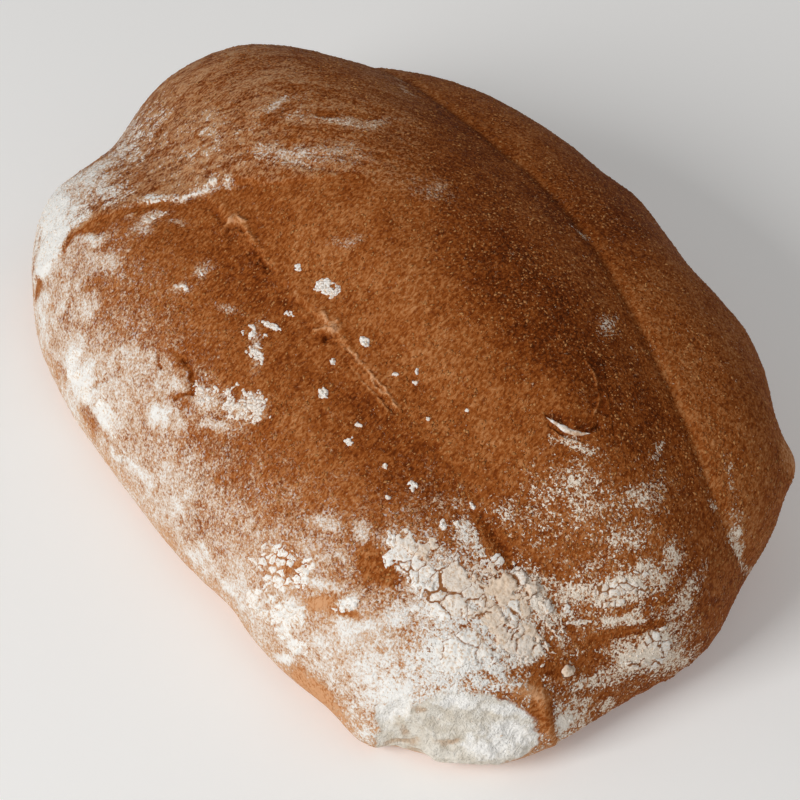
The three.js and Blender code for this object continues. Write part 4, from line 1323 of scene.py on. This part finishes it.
def octahedron():
    # a corner each way along the three axes, and a triangle for each choice of signs
    corners = np.concatenate([np.eye(3), -np.eye(3)])
    signs = np.array(list(np.ndindex(2, 2, 2)))
    triangles = np.arange(3) + 3 * signs
    odd = signs.sum(axis=1) % 2 == 1
    triangles[odd] = triangles[odd][:, ::-1]
    return corners, triangles


def grainPiece(name, ball, at, normal, lead, sizes, turns, tones, seed):
    # one ball for each grain, squashed by its three sizes, its length along a lead turned about the crust's
    # normal, and roughened
    corners, triangles = ball
    side = unit(lead - np.sum(lead * normal, axis=-1, keepdims=True) * normal)
    other = np.cross(normal, side)
    cos, sin = np.cos(turns)[:, None], np.sin(turns)[:, None]
    axes = np.stack([side * cos + other * sin, other * cos - side * sin, normal], axis=1)
    scaled = corners[None] * sizes[:, None, :]
    local = np.einsum("gca,gad->gcd", scaled, axes)
    roughSize = sizes[:, None, :1] * strewing["roughSize"]
    rough = 1 + strewing["rough"] * softNoise(at[:, None, :] + local, roughSize, seed)
    points = (at[:, None, :] + local * rough[..., None]).reshape(-1, 3)
    shift = (np.arange(len(at)) * len(corners))[:, None, None]
    triangles = (triangles[None] + shift).reshape(-1, 3)
    return meshPiece(name, points, triangles, dict(tone=np.repeat(tones, len(corners))))


def crustCorners(crust):
    # the crust's corners in millimetres, the area round each, and their values
    mesh = crust.data
    count = len(mesh.vertices)
    at = np.empty(count * 3, dtype=np.float32)
    mesh.vertices.foreach_get("co", at)
    at = at.reshape(-1, 3).astype(float) / mm
    index = np.empty(len(mesh.loops), dtype=np.int32)
    mesh.loops.foreach_get("vertex_index", index)
    a, b, c = (at[index[k::3]] for k in range(3))
    area = np.linalg.norm(np.cross(b - a, c - a), axis=-1) / 6
    values = {}
    for key in ("flour", "torn", "film", "brown"):
        values[key] = np.empty(count, dtype=np.float32)
        mesh.attributes[key].data.foreach_get("value", values[key])
    return at, np.bincount(index, np.repeat(area, 3), count), values


def strewn(at, chance, kind, draw):
    # crust points drawn by chance, moved a little, put back on the crust, and a size for each
    count = kind["count"]
    chance = np.where(at[:, 2] > strewing["above"], chance, 0)
    chosen = draw.choice(len(at), count, replace=False, p=chance / chance.sum())
    moved = at[chosen] + (draw.random((count, 3)) - 0.5) * strewing["moved"]
    points, normal, marks = crustSurface(fromHeart(moved))
    low, high = kind["size"]
    size = low + (high - low) * draw.random(count) ** strewing["sizePower"]
    least, more = strewing["stretch"]
    sizes = size[:, None] * np.array(kind["flat"]) * (least + more * draw.random((count, 3)))
    return points, normal, marks, sizes


def makeFlourGrains(corners):
    # grains strewn more often where the flour lies thick
    draw = np.random.default_rng(grains["seed"])
    at, area, values = corners
    chance = area * smooth(values["flour"], *grains["thickFrom"])
    chance = chance * (1 - grains["fewerOnCrumb"] * values["torn"])
    points, normal, marks, sizes = strewn(at, chance, grains, draw)
    turns = draw.random(len(points)) * 2 * np.pi
    tones = grains["thinTone"] * (1 - smooth(marks["flour"], *grains["thinFrom"]))
    return grainPiece("flourGrains", icosahedron(), points, normal, grains["lead"], sizes, turns, tones, 611)


def makeCrustFlecks(corners):
    # flecks strewn in clusters where the crust is bare, most of them slanting one way in the picture
    draw = np.random.default_rng(flecks["seed"])
    at, area, values = corners
    clusters = smooth(cloudNoise(at, flecks["cluster"], 621, layers=4), *flecks["clusterFrom"])
    chance = area * (flecks["least"] + (1 - flecks["least"]) * clusters) * (1 - values["torn"])
    chance = chance * (1 - smooth(values["flour"], *flecks["bareFrom"]))
    chance = chance * (1 - flecks["onFilm"] * values["film"]) * smooth(values["brown"], *flecks["brownFrom"])
    points, normal, _, sizes = strewn(at, chance, flecks, draw)
    turns = flecks["slantVaries"] * draw.standard_normal(len(points))
    tones = draw.random(len(points)) ** flecks["tonePower"]
    return grainPiece("crustFlecks", octahedron(), points, normal, slantLead, sizes, turns, tones, 631)


def setInputs(node, inputs):
    # a node's inputs, given as values or as sockets to link from
    for key, value in inputs.items():
        if isinstance(value, bpy.types.NodeSocket):
            node.id_data.links.new(value, node.inputs[key])
        else:
            node.inputs[key].default_value = value


def addNode(tree, kind, inputs=None, **settings):
    # a node with its settings, then its inputs
    node = tree.nodes.new("ShaderNode" + kind)
    for key, value in settings.items():
        setattr(node, key, value)
    setInputs(node, inputs or {})
    return node


def maths(tree, operation, a, b=0.0, c=0.0):
    return addNode(tree, "Math", {0: a, 1: b, 2: c}, operation=operation).outputs[0]


def times(tree, a, b):
    return maths(tree, "MULTIPLY", a, b)


def plus(tree, base, *parts):
    # the base and a share of each value
    for value, share in parts:
        base = maths(tree, "MULTIPLY_ADD", value, share, base)
    return base


def centred(tree, value):
    return maths(tree, "SUBTRACT", value, 0.5)


def mixColour(tree, share, a, b):
    return addNode(tree, "Mix", {0: share, 6: a, 7: b}, data_type="RGBA").outputs[2]


def remap(tree, value, low, high, toLow=0.0, toHigh=1.0):
    inputs = {"Value": value, "From Min": low, "From Max": high, "To Min": toLow, "To Max": toHigh}
    return addNode(tree, "MapRange", inputs, interpolation_type="SMOOTHSTEP").outputs[0]


def noise(tree, place, scale, detail=2.0, roughness=0.5, distortion=0.0):
    inputs = {"Scale": scale, "Detail": detail, "Roughness": roughness, "Distortion": distortion}
    return addNode(tree, "TexNoise", {"Vector": place, **inputs}).outputs["Fac"]


def attribute(tree, name):
    return addNode(tree, "Attribute", attribute_name=name).outputs["Fac"]


def tint(code):
    # a screen colour code as scene-linear red, green, blue and one
    parts = np.array([int(code[i:i + 2], 16) for i in (1, 3, 5)]) / 255
    linear = np.where(parts <= 0.04045, parts / 12.92, ((parts + 0.055) / 1.055) ** 2.4)
    return (*linear.tolist(), 1.0)


def millimetres(tree):
    # object coordinates counted in millimetres
    place = addNode(tree, "TexCoord").outputs["Object"]
    return addNode(tree, "VectorMath", {0: place, "Scale": 1 / mm}, operation="SCALE").outputs[0]


def newGroup(name, inputs, outputs):
    tree = bpy.data.node_groups.new(name, "ShaderNodeTree")
    for key, kind in inputs.items():
        tree.interface.new_socket(key, in_out="INPUT", socket_type="NodeSocket" + kind)
    for key in outputs:
        tree.interface.new_socket(key, in_out="OUTPUT", socket_type="NodeSocketFloat")
    return tree, tree.nodes.new("NodeGroupInput").outputs, tree.nodes.new("NodeGroupOutput")


def placeGroup(tree, group, inputs):
    return addNode(tree, "Group", inputs, node_tree=group).outputs


# Dusted flour: its noises from fine to wide, and levels for settled and for loose flour
dustFinish = dict(
    noises=[
        dict(shares=(0.9, 1.5), noise=dict(scale=2.8, roughness=0.7)),
        dict(shares=(0.5, 1.1), noise=dict(scale=1.3, roughness=0.6)),
        dict(shares=(0.45, 0.8), noise=dict(scale=0.4, detail=3.0, roughness=0.65)),
    ],
    coverFrom=(0.1, 0.3), coverTo=(0.64, 0.54), whiteFrom=0.42, whiteTo=(1.05, 0.75),
    peaks=dict(scale=2.4, detail=1.0, distortion=0.4),
    clusters=dict(scale=0.6, roughness=0.6), clusterShare=0.6,
    amounts=(0.03, 0.42),  # over these amounts of flour the peaks are raised by the next two
    raised=(-0.12, 0.19), fleckFrom=(0.24, 0.31), heights=(0.1, 1.2),
)


def flourDustGroup():
    # the amount plus noise of three sizes, finest where the flour is loose: thin flour covers past a first
    # level and is white past a second; flecks are the peaks of another noise, only of loose flour
    tree, given, result = newGroup(
        "flourDust", {"Place": "Vector", "Amount": "Float", "Loose": "Float"},
        ("Cover", "White", "Fleck", "Height"),
    )
    place, amount, loose = given["Place"], given["Amount"], given["Loose"]
    level = amount
    for kind in dustFinish["noises"]:
        share = remap(tree, loose, 0.0, 1.0, *kind["shares"])
        level = plus(tree, level, (centred(tree, noise(tree, place, **kind["noise"])), share))
    coverFrom, coverTo, whiteTo = (
        remap(tree, loose, 0.0, 1.0, *dustFinish[key]) for key in ("coverFrom", "coverTo", "whiteTo")
    )
    peaks = centred(tree, noise(tree, place, **dustFinish["peaks"]))
    clusters = centred(tree, noise(tree, place, **dustFinish["clusters"]))
    peaks = plus(tree, peaks, (clusters, dustFinish["clusterShare"]))
    peaks = maths(tree, "ADD", peaks, remap(tree, amount, *dustFinish["amounts"], *dustFinish["raised"]))
    fleck = times(tree, remap(tree, peaks, *dustFinish["fleckFrom"]), loose)
    cover = remap(tree, level, coverFrom, coverTo)
    white = remap(tree, level, dustFinish["whiteFrom"], whiteTo)
    height = maths(tree, "MAXIMUM", remap(tree, level, *dustFinish["heights"]), fleck)
    setInputs(result, dict(Cover=cover, White=white, Fleck=fleck, Height=height))
    return tree


def turnedPlace(tree, place, axes, drawnOut):
    # the place counted along three directions, drawn out along each
    turn = Matrix(np.column_stack(axes).tolist()).to_euler()
    inputs = {"Vector": place, "Rotation": turn, "Scale": drawnOut}
    return addNode(tree, "Mapping", inputs, vector_type="TEXTURE").outputs[0]


# The bare crust's grain: noises, and the range of each that is spread out
crustGrain = dict(
    drawnOut=(1.7, 1.0, 1.0), fine=dict(scale=2.4, detail=1.6, roughness=0.55, distortion=0.5),
    fineFrom=(0.3, 0.7), pebble=dict(scale=1.5, detail=1.0, distortion=0.7),
    pebbleFrom=(0.36, 0.64), cluster=dict(scale=0.35, detail=3.0, roughness=0.65),
    clusterFrom=(0.38, 0.62), clusterLeast=0.1,
    speck=dict(scale=1.9, detail=1.5, distortion=0.3), speckFrom=(0.58, 0.72),
    mottles=[dict(scale=0.25, detail=3.0, roughness=0.6), dict(scale=0.8, detail=3.0, roughness=0.6)],
)
streaks = dict(
    middle=(275, 130),  # the pixel that the arcs are level at
    drawnOut=(4.2, 1.0, 2.0), arcRadius=60.0,
    noise=dict(scale=0.62, detail=4.0, roughness=0.64, distortion=0.9),
)


def crustGrainGroup():
    # fine grain and pebbles drawn out along a slant, small pale specks in clusters, mottling of two sizes,
    # and streaks along level arcs over the far end: noise turned to the picture, drawn out and bent by a
    # share of the square
    results = ("Fine", "Pebble", "Speck", "Mottle", "Streak")
    tree, given, result = newGroup("crustGrain", {"Place": "Vector"}, results)
    place = given["Place"]
    axes = (slantLead, np.cross(view["back"], slantLead), view["back"])
    slanted = turnedPlace(tree, place, axes, crustGrain["drawnOut"])
    fine = remap(tree, noise(tree, slanted, **crustGrain["fine"]), *crustGrain["fineFrom"])
    pebble = remap(tree, noise(tree, slanted, **crustGrain["pebble"]), *crustGrain["pebbleFrom"])
    cluster = noise(tree, place, **crustGrain["cluster"])
    cluster = remap(tree, cluster, *crustGrain["clusterFrom"], crustGrain["clusterLeast"])
    speck = remap(tree, noise(tree, place, **crustGrain["speck"]), *crustGrain["speckFrom"])
    wide, narrow = (noise(tree, place, **mottle) for mottle in crustGrain["mottles"])
    mapped = turnedPlace(tree, place, (view["right"], view["up"], view["back"]), streaks["drawnOut"])
    parts = addNode(tree, "SeparateXYZ", {0: mapped}).outputs
    middle = float(underPixel(*streaks["middle"]) @ view["right"]) / streaks["drawnOut"][0]
    across = maths(tree, "SUBTRACT", parts[0], middle)
    bend = streaks["drawnOut"][0] ** 2 / (2 * streaks["arcRadius"])
    bent = plus(tree, parts[1], (times(tree, across, across), bend))
    arcs = addNode(tree, "CombineXYZ", {0: across, 1: bent, 2: parts[2]}).outputs[0]
    mottle = times(tree, maths(tree, "ADD", wide, narrow), 0.5)
    streak = noise(tree, arcs, **streaks["noise"])
    values = (fine, pebble, times(tree, speck, cluster), mottle, streak)
    setInputs(result, dict(zip(results, values)))
    return tree


def newMaterial(name):
    material = bpy.data.materials.new(name)
    material.use_nodes = True
    tree = material.node_tree
    tree.nodes.clear()
    shader = addNode(tree, "BsdfPrincipled")
    addNode(tree, "OutputMaterial", {"Surface": shader.outputs[0]})
    return material, tree, shader


def addBump(tree, shader, height, strength, distance):
    bump = addNode(tree, "Bump", {"Height": height, "Strength": strength, "Distance": distance * mm})
    setInputs(shader, {"Normal": bump.outputs[0]})


def paint(shader, colour, roughness, specular):
    setInputs(shader, {"Base Color": colour, "Roughness": roughness, "Specular IOR Level": specular})


flourWhite = tint("#f2f0eb")
flourBeige = tint("#e8d2bb")
flourThin = tint("#cfa987")
flourCream = tint("#f4e6d4")
crustFinish = dict(
    browns=[(0.0, "#cf9a70"), (0.25, "#b37443"), (0.5, "#95501e"), (0.75, "#72330a"), (1.0, "#4c1f05")],
    fine=0.34,  # shares by which the grain makes it paler or browner
    pebble=0.12, mottle=0.9, streak=1.6, speck="#c98c57", speckShare=0.45, speckBrown=(0.4, 0.75),
    speckLeast=0.3, film="#c3966e", filmStreak=3.0, filmFine=0.4, filmFrom=(0.25, 0.95), filmMost=0.9,
    flourMost=0.96, fleckMost=0.9, tornGrain=0.7, tornFrom=(0.25, 0.7),
    roughness=(0.75, 0.95),  # bare and floured
    specular=0.06, fineHeight=0.24, pebbleHeight=0.3, speckHeight=0.3, streakHeight=1.2, crumbHeight=0.3,
    bump=(0.7, 0.3),  # strength, and depth in millimetres
)
fleckFinish = dict(brown="#8c4b1c", tan="#bd8753", roughness=0.85, specular=0.1)
crumbFinish = dict(
    pale="#e4ddd1", shaded="#d2c8b8", white="#f6f3ee", brown="#bd9d7e",
    grain=dict(scale=1.0, detail=5.0, roughness=0.62, distortion=0.6),
    soft=dict(scale=0.45, detail=3.0, roughness=0.6), shadedFrom=(0.35, 0.65), whiteGrain=2.4,
    whiteFrom=(0.0, 1.1), brownGrain=1.6, brownFrom=(0.3, 1.1), brownMost=0.75,
)
cakedFinish = dict(
    grain=dict(scale=2.4, roughness=0.6, distortion=0.2), shade="#d3b597",
    shadeTo=(0.28, 0.55), crack="#8f5d36", crackFrom=(0.5, 1.0), bump=(0.6, 0.22), roughness=0.95,
    specular=0.1,
)
looseFinish = dict(
    mottle=dict(scale=1.4, detail=3.0, roughness=0.6), mottleFrom=(0.35, 0.65),
    grain=dict(scale=3.0, detail=3.0, roughness=0.6), bump=(0.5, 0.15), roughness=0.95, specular=0.1,
)


def crumbColour(tree, place, tone):
    # pale and shaded crumb by soft noise, whiter and browner by tone and grain
    finish = crumbFinish
    grain = centred(tree, noise(tree, place, **finish["grain"]))
    soft = remap(tree, noise(tree, place, **finish["soft"]), *finish["shadedFrom"])
    colour = mixColour(tree, soft, tint(finish["pale"]), tint(finish["shaded"]))
    white = remap(tree, plus(tree, tone, (grain, finish["whiteGrain"])), *finish["whiteFrom"])
    colour = mixColour(tree, white, colour, tint(finish["white"]))
    brown = plus(tree, times(tree, tone, -1.0), (grain, finish["brownGrain"]))
    brown = remap(tree, brown, *finish["brownFrom"], 0.0, finish["brownMost"])
    return mixColour(tree, brown, colour, tint(finish["brown"])), grain


def brownRamp(tree, value):
    # the browns from pale to dark by a value from 0 to 1
    ramp = addNode(tree, "ValToRGB", {"Fac": value})
    stops = crustFinish["browns"]
    elements = ramp.color_ramp.elements
    for _ in range(len(stops) - 2):
        elements.new(0.5)
    for element, (position, code) in zip(elements, stops):
        element.position = position
        element.color = tint(code)
    return ramp.outputs[0]


def bakedCrust(groups):
    # browns by how baked it is, with the painted shade and light carried in the brown mark, varied by grain,
    # then pale specks, the skin's streaky film, flour and crumb
    finish = crustFinish
    material, tree, shader = newMaterial("bakedCrust")
    place = millimetres(tree)
    keys = ("flour", "loose", "cream", "brown", "film", "torn", "tone")
    marks = {key: attribute(tree, key) for key in keys}
    grain = placeGroup(tree, groups["grain"], {"Place": place})
    streak = times(tree, centred(tree, grain["Streak"]), marks["film"])
    amount = plus(tree, marks["flour"], (streak, finish["streak"]))
    dust = placeGroup(tree, groups["dust"], {"Place": place, "Amount": amount, "Loose": marks["loose"]})
    fine, pebble, mottle = (centred(tree, grain[key]) for key in ("Fine", "Pebble", "Mottle"))
    brown = plus(
        tree, marks["brown"], (fine, -finish["fine"]), (streak, -finish["streak"]),
        (pebble, -finish["pebble"]), (mottle, finish["mottle"]),
    )
    speckChance = remap(tree, marks["brown"], *finish["speckBrown"], finish["speckLeast"])
    specks = times(tree, times(tree, grain["Speck"], speckChance), finish["speckShare"])
    colour = mixColour(tree, specks, brownRamp(tree, brown), tint(finish["speck"]))
    film = plus(tree, marks["film"], (streak, finish["filmStreak"]), (fine, finish["filmFine"]))
    film = remap(tree, film, *finish["filmFrom"], 0.0, finish["filmMost"])
    colour = mixColour(tree, film, colour, tint(finish["film"]))
    white = mixColour(tree, marks["cream"], flourWhite, flourCream)
    flour = mixColour(tree, dust["White"], flourThin, white)
    colour = mixColour(tree, times(tree, dust["Cover"], finish["flourMost"]), colour, flour)
    colour = mixColour(tree, times(tree, dust["Fleck"], finish["fleckMost"]), colour, white)
    inside, crumbGrain = crumbColour(tree, place, marks["tone"])
    torn = remap(tree, plus(tree, marks["torn"], (crumbGrain, finish["tornGrain"])), *finish["tornFrom"])
    roughness = remap(tree, dust["Cover"], 0.0, 1.0, *finish["roughness"])
    paint(shader, mixColour(tree, torn, colour, inside), roughness, finish["specular"])
    height = plus(
        tree, dust["Height"], (grain["Fine"], finish["fineHeight"]),
        (grain["Pebble"], finish["pebbleHeight"]), (specks, finish["speckHeight"]),
        (streak, finish["streakHeight"]), (times(tree, torn, crumbGrain), finish["crumbHeight"]),
    )
    addBump(tree, shader, height, *finish["bump"])
    return material


def cakedFlourFinish():
    # white to beige plates with a fine grain, brown down in the cracks
    finish = cakedFinish
    material, tree, shader = newMaterial("cakedFlour")
    flour = mixColour(tree, attribute(tree, "tone"), flourWhite, flourBeige)
    grain = noise(tree, millimetres(tree), **finish["grain"])
    shaded = mixColour(tree, remap(tree, grain, *finish["shadeTo"]), tint(finish["shade"]), flour)
    sunk = remap(tree, attribute(tree, "sunk"), *finish["crackFrom"])
    colour = mixColour(tree, sunk, shaded, tint(finish["crack"]))
    paint(shader, colour, finish["roughness"], finish["specular"])
    addBump(tree, shader, grain, *finish["bump"])
    return material


def looseFlour():
    # white to tan by tone, with a faint cream mottle
    finish = looseFinish
    material, tree, shader = newMaterial("looseFlour")
    place = millimetres(tree)
    mottle = remap(tree, noise(tree, place, **finish["mottle"]), *finish["mottleFrom"])
    white = mixColour(tree, mottle, flourBeige, flourWhite)
    colour = mixColour(tree, attribute(tree, "tone"), white, flourThin)
    paint(shader, colour, finish["roughness"], finish["specular"])
    addBump(tree, shader, noise(tree, place, **finish["grain"]), *finish["bump"])
    return material


def tanFleck():
    # brown to tan by tone
    finish = fleckFinish
    material, tree, shader = newMaterial("tanFleck")
    colour = mixColour(tree, attribute(tree, "tone"), tint(finish["brown"]), tint(finish["tan"]))
    paint(shader, colour, finish["roughness"], finish["specular"])
    return material


def dress(piece, material):
    piece.data.materials.append(material)
    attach(piece, "root")
    return piece


groups = {"dust": flourDustGroup(), "grain": crustGrainGroup()}
crustSkin = bakedCrust(groups)
crust = dress(makeCrust(), crustSkin)
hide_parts("roll")
for name, patch in fineSkin.items():
    dress(joinedPiece(name + "Skin", [finePatch(patch)]), crustSkin)
caked = cakedFlourFinish()
seeds = dict(caked=1000, heaps=2000, step=100)
plates = [
    flourPatch(patch, seeds["caked"] + seeds["step"] * k) for k, patch in enumerate(cakedFlour.values())
]
dress(joinedPiece("cakedFlour", plates), caked)
clots = [heapPatch(row, seeds["heaps"] + seeds["step"] * k) for k, row in enumerate(heapRows)]
dress(joinedPiece("flourHeaps", clots), caked)
flourFinish = looseFlour()
dress(makeBlisterLip(), flourFinish)
corners = crustCorners(crust)
dress(makeFlourGrains(corners), flourFinish)
dress(makeCrustFlecks(corners), tanFleck())
print("pieces made")

# Light and floor
lights = dict(
    key=dict(towards=(0.1, -0.85, 0.52), distance=0.9, size=0.42, power=5.6),
    fill=dict(towards=(0.8, 0.1, 0.6), distance=1.0, size=1.0, power=0.7),
)
lightsFace = np.array([0, 0, 0.02])  # metres, the roll's middle
world = dict(colour="#ffffff", strength=0.26)
floorDisc = dict(corners=96, radius=3000, below=0.02, colour="#f4f3f1", roughness=0.9, glow=0.16)


def placed(name, data, right, up, back, at):
    # an object turned by three directions, at a position in metres
    holder = bpy.data.objects.new(name, data)
    columns = np.column_stack([right, up, back, at])
    holder.matrix_world = Matrix(np.vstack([columns, [0, 0, 0, 1]]).tolist())
    bpy.context.scene.collection.objects.link(holder)
    return holder


def makeCamera():
    camera = bpy.data.cameras.new("camera")
    camera.sensor_width = view["sensor"]
    camera.lens = view["lens"]
    camera.clip_end = view["farthest"]
    axes = (view[key] for key in ("right", "up", "back"))
    bpy.context.scene.camera = placed("camera", camera, *axes, view["at"] * mm)


def makeLight(name, light):
    # a square lamp out along its direction, facing the roll's middle
    away = unit(np.array(light["towards"]))
    across = unit(np.cross([0, 0, 1.0], away))
    lamp = bpy.data.lights.new(name, "AREA")
    lamp.size = light["size"]
    lamp.energy = light["power"]
    at = lightsFace + away * light["distance"]
    placed(name, lamp, across, np.cross(away, across), away, at)


def makeFloor():
    # a pale disc wide enough to fill the view, a hair below the roll
    count = floorDisc["corners"]
    index = np.arange(count)
    turn = 2 * np.pi * index / count
    rim = np.stack([np.cos(turn), np.sin(turn), 0 * turn], axis=-1) * floorDisc["radius"]
    triangles = np.stack([np.full(count, count), index, (index + 1) % count], axis=-1)
    floor = meshPiece("floor", np.vstack([rim, [0, 0, 0]]) - [0, 0, floorDisc["below"]], triangles)
    material, _, shader = newMaterial("paleFloor")
    colour = tint(floorDisc["colour"])
    setInputs(shader, {"Base Color": colour, "Roughness": floorDisc["roughness"]})
    setInputs(shader, {"Emission Color": colour, "Emission Strength": floorDisc["glow"]})
    floor.data.materials.append(material)


makeCamera()
for name, light in lights.items():
    makeLight(name, light)
makeFloor()
sky = bpy.data.worlds.new("sky")
sky.use_nodes = True
setInputs(sky.node_tree.nodes["Background"], dict(Color=tint(world["colour"]), Strength=world["strength"]))
bpy.context.scene.world = sky
bpy.context.scene.view_settings.view_transform = "Standard"
print("camera, light and floor set")
